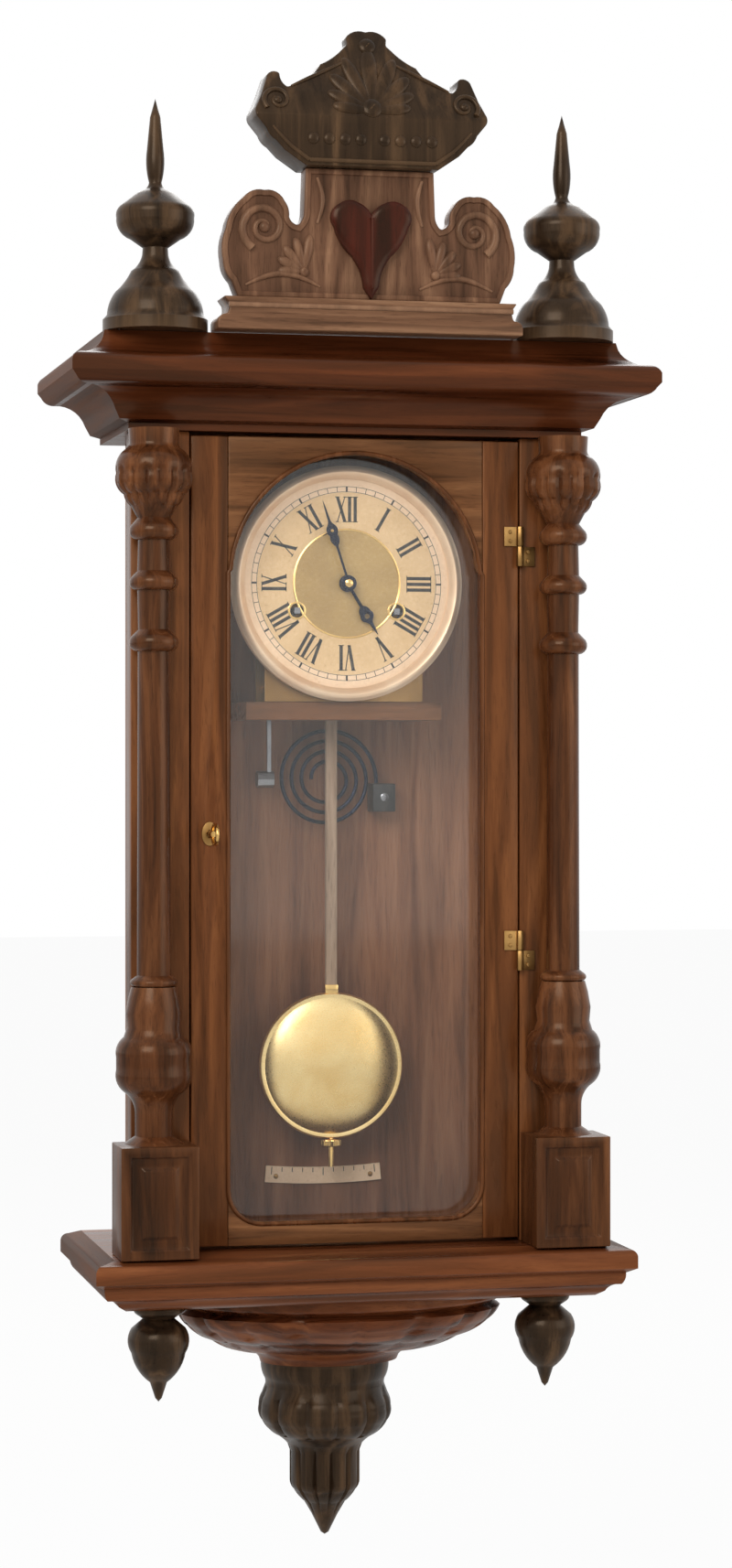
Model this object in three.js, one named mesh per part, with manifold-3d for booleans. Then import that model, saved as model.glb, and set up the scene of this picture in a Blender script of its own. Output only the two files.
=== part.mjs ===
// A spring-driven wall regulator: a glazed walnut case with turned columns, a dial,
// a two-barrel movement, a coiled gong and a pendulum with a brass bob.
// Axes: X to the viewer's right, Y into the wall (the clock faces -Y), Z up.
// The origin is on the wall plane, straight behind the centre of the dial.
import * as THREE from "three";
import { mergeVertices } from "three/addons/utils/BufferGeometryUtils.js";
import Module from "manifold-3d";

const wasm = await Module();
wasm.setup();

// General clearances, in millimetres
const gap = 0.3; // between pieces that rest on each other
const overrun = 2; // how far a cutter runs past what it cuts

// Steps of round shapes
const steps = { arc: 3, turning: 14, column: 12, fine: 18, hole: 4, leaf: 8 };

// The pendulum swings about the anchor's axis; the beat scale is an arc round it
const anchorAxis = { x: 0, z: 68.5 };
const beat = { radius: 524, width: 13, thickness: 2, halfDeg: 5, overFloor: 33.5 };

// Backboard and carcase: heights count from the centre of the dial
const carcase = {
  halfWidth: 155,
  backThickness: 14,
  sideThickness: 12,
  lipWidth: 36,
  lipThickness: 8,
  lipFront: 112,
  postInner: 128,
  postWidth: 44,
  postDepth: 22,
  top: 111,
  bottom: beat.radius + beat.width - anchorAxis.z + beat.overFloor,
  windowMargin: 42,
  windowStile: 16,
  sideGlass: 2.4,
};
const cornice = { height: 71, overhang: 49, front: 140, halfWidth: 175, roof: 12 };
const plinth = { height: 39, overhang: 26, front: 160, halfWidth: 180 };
// The bowl's depth is a share of its radius that falls as the radius grows
const bowl = { radius: 129, height: 62, depthShare: 0.72, depthFall: 0.13 };
const bottomFinial = { radius: 52, height: 140, axisDepth: 22 };
const drop = { radius: 21.4, height: 73.5, x: bowl.radius + 21, depth: 126 };
const finial = { radius: 39, height: 173, x: 156.5, depth: 150 };
const column = { x: 157.5, depth: 150, capitalRadius: 28, height: 413, shaftRadius: 12 };
const pedestal = { blockHalf: 29, blockHeight: 83, radius: 28 };

// Crest: all of it stands on the cornice, near its front
const crest = {
  depth: 171,
  baseHalf: 116,
  baseHeight: 24,
  baseDepth: 32,
  panelHalf: 111,
  panelHeight: 97,
  panelThickness: 18,
  capHalf: 87,
  capHeight: 105,
  capThickness: 40,
  capSlopeStart: 0.35,
  capTopDepth: 165,
  ornamentHalf: 28,
  ornamentHeight: 74,
  ornamentThickness: 7,
};

// Door: it closes between the posts, against the lip behind it
const door = {
  halfWidth: 126.7,
  front: 134,
  thickness: 21.7,
  top: 108,
  bottom: carcase.bottom - 3,
  stile: 28,
  archRadius: 97,
  headLow: 8,
  railHeight: 16,
  railCorner: 26,
  glassThickness: 2.5,
  glassBack: 115.5,
  rebate: 6,
};
const hinge = {
  x: 127.35,
  depth: 137,
  knuckle: 3,
  pin: 1.3,
  halfHeight: 15,
  leafWidth: 12,
  leafThickness: 1.2,
  upper: 28,
  lower: -280,
};
const lock = {
  x: 112.7,
  z: -190,
  keyRadius: 2.5,
  keyFront: 150,
  bowRadius: 10,
  bowThickness: 3,
  bowFlatShare: 0.75,
  bitLength: 7,
  bitThickness: 2,
  boltThickness: 4,
  boltDepth: 123,
  boltLength: 9.4,
  boltHeight: 14,
  boltTravel: 6,
  roomEnd: 107,
};

// Dial, bezel and hands
const dial = {
  radius: 84,
  front: 101,
  thickness: 1.5,
  centreHole: 5,
  windingHole: 5.5,
  footRadius: 2.5,
  footCircle: 55,
};
const bezel = { inner: 80, outer: 90, crown: 85, front: 108, innerFront: 103, back: 97 };
const hands = {
  thickness: 1.4,
  hourFront: 104.8,
  minuteFront: 109,
  hourLength: 46,
  minuteLength: 66,
  bossRadius: 6.5,
  minuteBoss: 6,
  hourWidth: 9,
  minuteWidth: 6,
  hourDeg: 148.5,
  minuteDeg: 342,
};

// Movement frame: plates stand on the seatboard, pillars are riveted to the back plate
const frame = {
  plateFront: 91,
  plateThickness: 2.5,
  inner: 32,
  halfWidth: 62,
  top: 58,
  bottom: 90,
  crownTop: 80,
  crownHalf: 22,
  pillarRadius: 3.5,
  pillarX: 54,
  pillarTop: 48,
  pillarLow: 80,
};
const seatboard = { halfWidth: 77, thickness: 14, front: 93, barDepth: 38, notchLeft: 58, notchRight: 50 };

// Wheel work: places of the arbors as seen from the front
const arborRadius = 1.4;
const pivotRadius = 0.8;
const centre = { x: 0, z: 0 };
const windingSide = { x: 39, z: -21 };
const intermediate = { x: 8, z: -28 };
const third = { x: -20, z: 22 };
const escape = { x: 0, z: 44 };
const minuteArbor = { x: 0, z: -20 };
const hammerAxis = { x: -46, z: -62 };
const teeth = {
  great: 80,
  intermediatePinion: 10,
  intermediate: 72,
  centrePinion: 12,
  centre: 80,
  thirdPinion: 8,
  third: 72,
  escapePinion: 8,
  escape: 30,
  cannon: 12,
  minute: 36,
  minutePinion: 10,
  hour: 40,
};
const wheelThickness = 1.6;
const pinionLength = 4;
const shortPinion = 2.6;
const pinionLead = 0.4; // how far a pinion stands past the back of its wheel
// How far the back face of each wheel and the ends of the drums stand from the wall
const layer = {
  centreWheel: 85.5,
  drumFront: 84.5,
  drumBack: 65.3,
  greatWheel: 65.3,
  thirdWheel: 62.2,
  intermediateWheel: 58.7,
  escapeWheel: 78.5,
  minuteWheel: 92.3,
  hourWheel: 95.5,
};
const barrel = { drumRadius: 25, boreRadius: 3.4, arborRadius: 3, square: 4.6, squareFront: 103 };
const escapeWheelRadius = 16;
const escapeTooth = { rootShare: 0.82, tipShare: 0.25, heelShare: 0.45 };
const hourPipe = { inner: 2.5, outer: 4, front: 105.4 };
const cannonPipe = { radius: 2, front: 111 };

// Pallets, crutch and pendulum
const anchor = { thickness: 3, front: 81, armX: 13.3, armZ: 12.6, tip: 2.4, hub: 4.2 };
const crutch = { front: 52.5, thickness: 2, width: 4, length: 72, prong: 2, prongHeight: 8, back: 40.5 };
const cock = { cheekInner: 7, cheekOuter: 13, back: 38, blockFront: 49, top: 82, bottom: 66 };
const pendulum = {
  depth: 45,
  springWidth: 8,
  springThickness: 0.6,
  springLength: 12,
  blockWidth: 12,
  blockHeight: 6,
  rodWidth: 9,
  rodThickness: 5,
  bobCentre: 373,
  bobRadius: 57,
  bobThickness: 20,
  studRadius: 2.2,
  rodEnd: 420,
  studEnd: 452,
  nutRadius: 8,
  nutHeight: 6,
};

// Gong, hammer, beat scale and hanger on the backboard
const gong = { x: 0, z: -150, radius: 40, pitch: 8, wire: 3.2, depth: 28, loops: 3.5 };
const gongSteps = 24;
const gongSides = 6;
const gongBlock = { inner: 36, outer: 54, height: 22, front: 36 };
const hammer = { arm: 3, armFront: 30, headRadius: 6.5, headLength: 13, strikeGap: 1 };
const hanger = {
  halfWidth: 20,
  height: 52,
  thickness: 3,
  z: 80,
  headRadius: 6,
  slotHalf: 3,
  drop: 14,
  headDepth: 10,
};

// Heights and depths that follow from the sizes above
const postFront = carcase.lipFront + carcase.postDepth;
const postOuter = carcase.postInner + carcase.postWidth;
const sideInner = carcase.halfWidth - carcase.sideThickness;
const corniceTop = carcase.top + cornice.height;
const plinthBottom = -carcase.bottom - plinth.height;
const bowlBottom = plinthBottom - bowl.height - gap;
const crestBaseTop = corniceTop + gap + crest.baseHeight;
const crestPanelTop = crestBaseTop + gap + crest.panelHeight;
const plateBack = frame.plateFront - frame.plateThickness - frame.inner;
const columnTop = carcase.top - gap;
const columnFoot = columnTop - column.height;

// Materials
const paint = (color, roughness, metalness) =>
  new THREE.MeshStandardMaterial({ color, roughness, metalness });
const walnut = paint(0x7a4527, 0.38, 0);
const ebonised = paint(0x2b2320, 0.35, 0);
const redwood = paint(0x5c2318, 0.36, 0);
const pane = new THREE.MeshStandardMaterial({
  color: 0xdfe8e4,
  roughness: 0.05,
  metalness: 0,
  transparent: true,
  opacity: 0.3,
});
const brass = paint(0xc79a4b, 0.3, 1);
const steel = paint(0x8d9095, 0.35, 1);
const bluedSteel = paint(0x23262e, 0.32, 1);
const enamel = paint(0xe9d9bd, 0.35, 0);
const rodWood = paint(0xa8927b, 0.5, 0);
const castIron = paint(0x3a3733, 0.6, 1);

// A geometry as a closed solid with its faces turned outwards
function solidOf(geometry) {
  const loose = geometry.index ? geometry.toNonIndexed() : geometry.clone();
  loose.deleteAttribute("normal");
  loose.deleteAttribute("uv");
  const merged = mergeVertices(loose);
  const points = merged.attributes.position.array;
  const index = merged.index.array;
  const kept = [];
  for (let i = 0; i < index.length; i += 3) {
    const [a, b, c] = [index[i], index[i + 1], index[i + 2]];
    if (a !== b && b !== c && c !== a) kept.push(a, b, c);
  }
  if (signedVolume(points, kept) < 0) kept.reverse();
  const triVerts = new Uint32Array(kept);
  return new wasm.Manifold(new wasm.Mesh({ numProp: 3, vertProperties: points, triVerts }));
}

function signedVolume(points, index) {
  const corner = (i) => new THREE.Vector3().fromArray(points, index[i] * 3);
  let sum = 0;
  for (let i = 0; i < index.length; i += 3) {
    sum += corner(i).dot(corner(i + 1).cross(corner(i + 2)));
  }
  return sum;
}

function geometryOf(solid) {
  const mesh = solid.getMesh();
  const geometry = new THREE.BufferGeometry();
  geometry.setAttribute("position", new THREE.BufferAttribute(mesh.vertProperties, mesh.numProp));
  geometry.setIndex(new THREE.BufferAttribute(mesh.triVerts, 1));
  return geometry;
}

function join(...geometries) {
  return geometryOf(geometries.map(solidOf).reduce((a, b) => a.add(b)));
}

function cut(geometry, ...cutters) {
  return geometryOf(cutters.map(solidOf).reduce((a, b) => a.subtract(b), solidOf(geometry)));
}

// A straight block between two corners, in any order
function block([x0, x1], [y0, y1], [z0, z1]) {
  const geometry = new THREE.BoxGeometry(Math.abs(x1 - x0), Math.abs(y1 - y0), Math.abs(z1 - z0));
  return geometry.translate((x0 + x1) / 2, (y0 + y1) / 2, (z0 + z1) / 2);
}

// Points of an outline given as [across, up, bulge] shares of a width and a height.
// A bulge bends the stretch that ends at its point: 1 is a half circle outwards, -1 inwards.
function outline(shares, width, height, arcSteps = steps.arc) {
  const points = [];
  shares.forEach(([across, up, bulge = 0], i) => {
    const end = new THREE.Vector2(across * width, up * height);
    if (bulge !== 0) {
      const start = points[points.length - 1];
      const chord = end.clone().sub(start);
      const outward = new THREE.Vector2(chord.y, -chord.x);
      const half = 2 * Math.atan(Math.abs(bulge));
      for (let k = 1; k < arcSteps; k++) {
        const turn = half * ((2 * k) / arcSteps - 1);
        const along = (Math.sin(turn) / Math.sin(half) + 1) / 2;
        const rise = ((Math.cos(turn) - Math.cos(half)) / Math.sin(half) / 2) * Math.sign(bulge);
        points.push(start.clone().addScaledVector(chord, along).addScaledVector(outward, rise));
      }
    }
    points.push(end);
  });
  return points;
}

// A turned piece that stands on z = 0, from the foot of its outline to the top
function turned(points, sides = steps.turning) {
  return new THREE.LatheGeometry(points, sides).rotateX(Math.PI / 2);
}

// A piece turned about an arbor: [radius, depth] stations, depth counted from the wall
function arborTurned(stations, place, sides = steps.hole * 2) {
  const points = stations.map(([radius, depth]) => new THREE.Vector2(radius, -depth));
  return new THREE.LatheGeometry(points, sides).translate(place.x, 0, place.z);
}

// A flat outline of X and Z, as thick as the space between two depths from the wall
function plate(shape, frontDepth, backDepth, curveSegments = steps.leaf) {
  const depth = frontDepth - backDepth;
  return new THREE.ExtrudeGeometry(shape, { depth, bevelEnabled: false, curveSegments })
    .rotateX(Math.PI / 2)
    .translate(0, -backDepth, 0);
}

// An outline of depth and height, drawn out along X to both sides
function prism(points, reach) {
  const geometry = new THREE.ExtrudeGeometry(shapeOf(points), { depth: 2 * reach, bevelEnabled: false });
  const across = new THREE.Vector3(0, -1, 0);
  const up = new THREE.Vector3(0, 0, 1);
  const along = new THREE.Vector3(-1, 0, 0);
  return geometry
    .applyMatrix4(new THREE.Matrix4().makeBasis(across, up, along))
    .translate(reach, 0, 0);
}

// A moulding mitred round the front and both sides; outline points are [overhang, height]
function moulding(points, halfWidth, front) {
  const vertices = [];
  points.forEach(({ x: overhang, y: z }) => {
    const half = halfWidth + overhang;
    const depth = front + overhang;
    vertices.push(-half, 0, z, half, 0, z, half, -depth, z, -half, -depth, z);
  });
  const index = [0, 1, 2, 0, 2, 3];
  for (let level = 0; level < points.length - 1; level++) {
    for (let side = 0; side < 4; side++) {
      const a = level * 4 + side;
      const b = level * 4 + ((side + 1) % 4);
      index.push(a, a + 4, b, b, a + 4, b + 4);
    }
  }
  const last = (points.length - 1) * 4;
  index.push(last, last + 2, last + 1, last, last + 3, last + 2);
  const geometry = new THREE.BufferGeometry();
  geometry.setAttribute("position", new THREE.Float32BufferAttribute(vertices, 3));
  geometry.setIndex(index);
  return geometry;
}

function shapeOf(points) {
  return new THREE.Shape(points);
}

// A closed outline from one half of it, mirrored about x = 0
function mirrored(half) {
  const other = half
    .filter((point) => point.x !== 0)
    .map((point) => new THREE.Vector2(-point.x, point.y))
    .reverse();
  return shapeOf([...half, ...other]);
}

function addHole(shape, x, z, radius) {
  const hole = new THREE.Path();
  hole.absarc(x, z, radius, 0, Math.PI * 2, true);
  shape.holes.push(hole);
}

const clock = new THREE.Group();

function piece(name, geometry, material) {
  const mesh = new THREE.Mesh(geometry, material);
  mesh.name = name;
  clock.add(mesh);
  return mesh;
}

const sides = [
  { side: "left", sign: -1 },
  { side: "right", sign: 1 },
];

// Case

function makeBackboard() {
  const board = block(
    [-carcase.halfWidth, carcase.halfWidth],
    [-carcase.backThickness, 0],
    [plinthBottom, corniceTop],
  );
  const pocket = block(
    [-hanger.halfWidth - gap, hanger.halfWidth + gap],
    [-hanger.thickness - gap, overrun],
    [hanger.z - hanger.height / 2 - gap, hanger.z + hanger.height / 2 + gap],
  );
  const headRoom = block(
    [-hanger.headRadius, hanger.headRadius],
    [-hanger.headDepth, 0],
    [hanger.z - hanger.drop - hanger.headRadius, hanger.z + hanger.drop],
  );
  piece("backboard", cut(board, pocket, headRoom), walnut);
}

function makeHanger() {
  const low = hanger.z - hanger.drop / 2;
  const high = hanger.z + hanger.drop / 2;
  const shape = shapeOf([
    new THREE.Vector2(-hanger.halfWidth, hanger.z - hanger.height / 2),
    new THREE.Vector2(hanger.halfWidth, hanger.z - hanger.height / 2),
    new THREE.Vector2(hanger.halfWidth, hanger.z + hanger.height / 2),
    new THREE.Vector2(-hanger.halfWidth, hanger.z + hanger.height / 2),
  ]);
  const keyhole = new THREE.Path();
  const opening = Math.asin(hanger.slotHalf / hanger.headRadius);
  keyhole.absarc(0, low, hanger.headRadius, Math.PI / 2 + opening, Math.PI / 2 - opening, false);
  keyhole.absarc(0, high, hanger.slotHalf, 0, Math.PI, false);
  shape.holes.push(keyhole);
  piece("hanger_plate", plate(shape, hanger.thickness, 0), brass);
}

function makeSideFrames() {
  const low = -carcase.bottom + gap;
  const high = columnTop;
  sides.forEach(({ side, sign }) => {
    const panel = block(
      [sign * sideInner, sign * carcase.halfWidth],
      [-carcase.backThickness - gap, -carcase.lipFront],
      [low, high],
    );
    const lip = block(
      [sign * (carcase.halfWidth - carcase.lipWidth), sign * carcase.halfWidth],
      [-carcase.lipFront + carcase.lipThickness, -carcase.lipFront - carcase.postDepth / 2],
      [low, high],
    );
    const lipTrim = block(
      [0, sign * carcase.postInner],
      [-carcase.lipFront, -postFront - overrun],
      [low - overrun, high + overrun],
    );
    const post = block(
      [sign * carcase.postInner, sign * postOuter],
      [-carcase.lipFront, -postFront],
      [low, high],
    );
    const window = block(
      [sign * (sideInner - overrun), sign * (carcase.halfWidth + overrun)],
      [
        -carcase.backThickness - carcase.windowStile,
        -carcase.lipFront + carcase.lipThickness + carcase.windowStile,
      ],
      [low + carcase.windowMargin, high - carcase.windowMargin],
    );
    const mortise = block(
      [sign * (carcase.postInner - overrun), sign * (carcase.postInner + lock.boltTravel + 2 * gap)],
      [-lock.boltDepth - lock.boltThickness, -lock.boltDepth + lock.boltThickness],
      [lock.z - lock.boltHeight / 2 - gap, lock.z + lock.boltHeight / 2 + gap],
    );
    const plain = cut(join(panel, cut(lip, lipTrim), post), window);
    const finished = sign < 0 ? cut(plain, mortise) : plain;
    piece(`side_frame_${side}`, finished, walnut);
    const glass = block(
      [sign * (sideInner + gap), sign * (sideInner + gap + carcase.sideGlass)],
      [
        -carcase.backThickness - carcase.windowStile - gap,
        -carcase.lipFront + carcase.lipThickness + carcase.windowStile + gap,
      ],
      [low + carcase.windowMargin + gap, high - carcase.windowMargin - gap],
    );
    piece(`side_glass_${side}`, glass, pane);
  });
}

// Cuts the room for the backboard out of a moulding's back
function backCutter() {
  return block(
    [-carcase.halfWidth - gap, carcase.halfWidth + gap],
    [-carcase.backThickness - gap, overrun],
    [plinthBottom - overrun, corniceTop + overrun],
  );
}

const corniceShares = [
  [0, 0],
  [0, 0.07],
  [0.16, 0.1],
  [0.24, 0.2],
  [0.74, 0.42, -0.35],
  [0.94, 0.5, 0.3],
  [1, 0.55],
  [1, 0.65],
  [0.84, 0.74, 0.3],
  [0.46, 0.92, -0.3],
  [0.43, 1],
];

function makeCornice() {
  const points = outline(corniceShares, cornice.overhang, cornice.height);
  points.forEach((point) => (point.y += carcase.top));
  const hollow = block(
    [-sideInner, sideInner],
    [-carcase.backThickness, -carcase.lipFront],
    [carcase.top - overrun, corniceTop - cornice.roof],
  );
  const solid = moulding(points, cornice.halfWidth, cornice.front);
  piece("cornice", cut(solid, hollow, backCutter()), walnut);
}

const plinthShares = [
  [0, 0],
  [0.23, 0.1],
  [0.62, 0.26, -0.3],
  [0.72, 0.49, 0.2],
  [1, 0.59],
  [1, 0.82],
  [0.77, 0.95, 0.4],
  [0.38, 1],
];

function makePlinth() {
  const points = outline(plinthShares, plinth.overhang, plinth.height);
  points.forEach((point) => (point.y += plinthBottom));
  const solid = moulding(points, plinth.halfWidth, plinth.front);
  piece("plinth", cut(solid, backCutter()), walnut);
}

const bowlShares = [
  [0, 0],
  [0.42, 0],
  [0.43, 0.06],
  [0.46, 0.13],
  [0.56, 0.2],
  [0.77, 0.38, 0.15],
  [0.92, 0.58, 0.15],
  [0.98, 0.75, 0.15],
  [0.94, 0.8],
  [0.97, 0.85],
  [1, 0.94, 0.5],
  [1, 1],
  [0, 1],
];

// Makes each level of a turned piece an ellipse whose back lies against the wall
function leanOnWall(geometry) {
  const points = geometry.attributes.position;
  for (let i = 0; i < points.count; i++) {
    const radius = Math.hypot(points.getX(i), points.getY(i));
    const share = bowl.depthShare - (bowl.depthFall * radius) / bowl.radius;
    points.setY(i, share * (points.getY(i) - radius) - gap);
  }
  return geometry;
}

function makeBowl() {
  const round = turned(outline(bowlShares, bowl.radius, bowl.height), steps.fine);
  const leant = leanOnWall(round).translate(0, 0, bowlBottom);
  piece("bracket_bowl", geometryOf(solidOf(leant)), walnut);
}

const bottomFinialShares = [
  [0, 0],
  [0.06, 0.015],
  [0.2, 0.12],
  [0.31, 0.19],
  [0.47, 0.26, 0.1],
  [0.53, 0.31, 0.2],
  [0.53, 0.48],
  [0.57, 0.52],
  [0.78, 0.58, -0.1],
  [0.95, 0.65, 0.15],
  [1, 0.73, 0.25],
  [0.95, 0.8, 0.15],
  [0.9, 0.85],
  [0.93, 0.9, -0.2],
  [0.96, 1, 0.15],
  [0, 1],
];

// Round, but flat at the back where it meets the wall
function makeBottomFinial() {
  const top = bowlBottom - gap;
  const knob = turned(outline(bottomFinialShares, bottomFinial.radius, bottomFinial.height));
  knob.translate(0, -bottomFinial.axisDepth, top - bottomFinial.height);
  const behindWall = block(
    [-bottomFinial.radius - overrun, bottomFinial.radius + overrun],
    [0, bottomFinial.radius + overrun],
    [top - bottomFinial.height - overrun, top + overrun],
  );
  piece("bottom_finial", cut(knob, behindWall), ebonised);
}

const dropShares = [
  [0, 0],
  [0.12, 0.04],
  [0.3, 0.2],
  [0.95, 0.5, 0.2],
  [0.95, 0.75, 0.3],
  [0.55, 0.85],
  [0.8, 0.9],
  [0.8, 1, 0.5],
  [0, 1],
];

function makeDrops() {
  sides.forEach(({ side, sign }) => {
    const knob = turned(outline(dropShares, drop.radius, drop.height), steps.column);
    knob.translate(sign * drop.x, -drop.depth, plinthBottom - gap - drop.height);
    piece(`drop_${side}`, geometryOf(solidOf(knob)), ebonised);
  });
}

const finialShares = [
  [0, 0],
  [1, 0],
  [1, 0.05],
  [0.92, 0.07],
  [0.76, 0.17, 0.15],
  [0.46, 0.26, -0.1],
  [0.25, 0.33, -0.2],
  [0.24, 0.36],
  [0.49, 0.4],
  [0.74, 0.49, 0.35],
  [0.66, 0.54, 0.3],
  [0.38, 0.59],
  [0.26, 0.605],
  [0.12, 0.64, -0.3],
  [0.16, 0.78, 0.1],
  [0.1, 0.92],
  [0, 1],
];

function makeFinials() {
  sides.forEach(({ side, sign }) => {
    const spire = turned(outline(finialShares, finial.radius, finial.height));
    spire.translate(sign * finial.x, -finial.depth, corniceTop + gap);
    piece(`finial_${side}`, geometryOf(solidOf(spire)), ebonised);
  });
}

const columnShares = [
  [0, 0],
  [0.55, 0],
  [0.6, 0.012, 0.6],
  [0.45, 0.02],
  [0.43, 0.55],
  [0.43, 0.6],
  [0.56, 0.63, 0.7],
  [0.42, 0.64],
  [0.44, 0.71],
  [0.58, 0.735, 0.7],
  [0.44, 0.745],
  [0.42, 0.8],
  [0.56, 0.83, 0.7],
  [0.44, 0.84],
  [0.6, 0.86],
  [0.8, 0.882, 0.2],
  [1, 0.92, 0.35],
  [0.78, 0.962, 0.3],
  [0.66, 0.975, -0.3],
  [0.68, 1],
  [0, 1],
];

// Everything behind the front of the posts is cut off a column or a pedestal
function postCutter(low, high) {
  const reach = column.x + column.capitalRadius + overrun;
  return block(
    [-reach, reach],
    [-postFront - gap, 0],
    [low - overrun, high + overrun],
  );
}

function makeColumns() {
  sides.forEach(({ side, sign }) => {
    const points = outline(columnShares, column.capitalRadius, column.height);
    const shaft = turned(points, steps.column);
    shaft.translate(sign * column.x, -column.depth, columnFoot);
    piece(`column_${side}`, cut(shaft, postCutter(columnFoot, columnTop)), walnut);
  });
}

const pedestalShares = [
  [0, 0],
  [0.8, 0],
  [0.5, 0.05],
  [0.5, 0.19],
  [0.8, 0.33, -0.25],
  [1, 0.47, 0.3],
  [1, 0.55],
  [0.8, 0.68, 0.3],
  [0.72, 0.74],
  [0.75, 0.83],
  [0.68, 0.93],
  [0.6, 1],
  [0, 1],
];

function makePedestals() {
  const foot = -carcase.bottom + gap;
  const blockTop = foot + pedestal.blockHeight;
  const vaseHeight = columnFoot - gap - blockTop;
  sides.forEach(({ side, sign }) => {
    const vase = turned(outline(pedestalShares, pedestal.radius, vaseHeight + gap), steps.column);
    vase.translate(sign * column.x, -column.depth, blockTop - gap);
    const base = block(
      [sign * (column.x - pedestal.blockHalf), sign * (column.x + pedestal.blockHalf)],
      [-postFront - gap, -column.depth - pedestal.blockHalf],
      [foot, blockTop],
    );
    const trimmed = cut(vase, postCutter(foot, columnFoot));
    piece(`pedestal_${side}`, join(trimmed, base), walnut);
  });
}

// Crest

function makeCrestBase() {
  const shares = [
    [0, 0],
    [1, 0],
    [1, 0.25],
    [0.94, 0.45, 0.4],
    [0.93, 0.8, -0.2],
    [0.96, 1],
    [0, 1],
  ];
  const half = outline(shares, crest.baseHalf, crest.baseHeight);
  half.forEach((point) => (point.y += corniceTop + gap));
  const front = crest.depth + crest.baseDepth / 2;
  piece("crest_base", plate(mirrored(half), front, front - crest.baseDepth), walnut);
}

const crestPanelShares = [
  [0, 0],
  [0.9, 0],
  [0.94, 0.12],
  [1, 0.28, 0.2],
  [0.98, 0.52, 0.15],
  [0.86, 0.76, 0.2],
  [0.72, 0.82, 0.3],
  [0.58, 0.74, 0.35],
  [0.55, 0.62, 0.2],
  [0.49, 0.56, -0.3],
  [0.45, 0.66, -0.2],
  [0.44, 1],
  [0, 1],
];

function makeCrestPanel() {
  const half = outline(crestPanelShares, crest.panelHalf, crest.panelHeight);
  half.forEach((point) => (point.y += crestBaseTop + gap));
  const front = crest.depth + crest.panelThickness / 2;
  piece("crest_panel", plate(mirrored(half), front, front - crest.panelThickness), walnut);
}

const crestCapShares = [
  [0, 0],
  [0.58, 0],
  [0.76, 0.1],
  [0.84, 0.17],
  [0.92, 0.25, 0.2],
  [1, 0.33],
  [1, 0.41, 0.3],
  [0.95, 0.5],
  [0.9, 0.62],
  [0.78, 0.66, 0.6],
  [0.72, 0.56, -0.3],
  [0.6, 0.6],
  [0.42, 0.74, -0.15],
  [0.22, 0.86, -0.1],
  [0.17, 0.9],
  [0.18, 0.95],
  [0, 1, 0.35],
];

function makeCrestCap() {
  const half = outline(crestCapShares, crest.capHalf, crest.capHeight);
  half.forEach((point) => (point.y += crestPanelTop + gap));
  const front = crest.depth + crest.capThickness / 2;
  const cap = plate(mirrored(half), front, front - crest.capThickness);
  const low = crestPanelTop + gap;
  const reach = crest.capHalf + overrun;
  const slope = [
    new THREE.Vector2(front, low + crest.capSlopeStart * crest.capHeight),
    new THREE.Vector2(crest.capTopDepth, low + crest.capHeight),
    new THREE.Vector2(crest.capTopDepth, low + crest.capHeight + overrun),
    new THREE.Vector2(front + overrun, low + crest.capHeight + overrun),
    new THREE.Vector2(front + overrun, low + crest.capSlopeStart * crest.capHeight),
  ];
  piece("crest_cap", cut(cap, prism(slope, reach)), ebonised);
}

const ornamentShares = [
  [0, 0],
  [0.2, 0.12],
  [0.5, 0.42, -0.15],
  [1, 0.72, 0.15],
  [0.86, 0.95, 0.5],
  [0.35, 0.96, 0.3],
  [0, 0.84, 0.2],
];

function makeCrestOrnament() {
  const half = outline(ornamentShares, crest.ornamentHalf, crest.ornamentHeight);
  half.forEach((point) => (point.y += crestBaseTop + 2 * gap));
  const back = crest.depth + crest.panelThickness / 2 + gap;
  const shape = mirrored(half);
  piece("crest_ornament", plate(shape, back + crest.ornamentThickness, back), redwood);
}

// Door

const doorInner = door.halfWidth - door.stile;
const doorBack = door.front - door.thickness;

function glassCutter() {
  return block(
    [-doorInner - door.rebate, doorInner + door.rebate],
    [-door.glassBack - door.glassThickness - gap, 0],
    [-door.bottom + door.railHeight - door.rebate, door.archRadius + door.rebate],
  );
}

function makeDoorStiles() {
  const low = -door.bottom;
  sides.forEach(({ side, sign }) => {
    const bar = block(
      [sign * doorInner, sign * door.halfWidth],
      [-door.front, -doorBack],
      [low, door.top],
    );
    piece(`door_stile_${side}`, sign < 0 ? lockStile(bar) : cut(bar, glassCutter()), walnut);
  });
}

function lockStile(bar) {
  const room = block(
    [-door.halfWidth - overrun, -lock.roomEnd],
    [-lock.boltDepth - lock.boltThickness / 2 - gap, -lock.boltDepth + lock.boltThickness / 2 + gap],
    [lock.z - lock.boltHeight / 2 - gap, lock.z + lock.boltHeight / 2 + gap],
  );
  const keyhole = arborTurned(
    [
      [0, door.front + overrun],
      [lock.keyRadius + gap, door.front + overrun],
      [lock.keyRadius + gap, lock.boltDepth],
      [0, lock.boltDepth],
    ],
    { x: -lock.x, z: lock.z },
  );
  return cut(bar, glassCutter(), room, keyhole);
}

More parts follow.
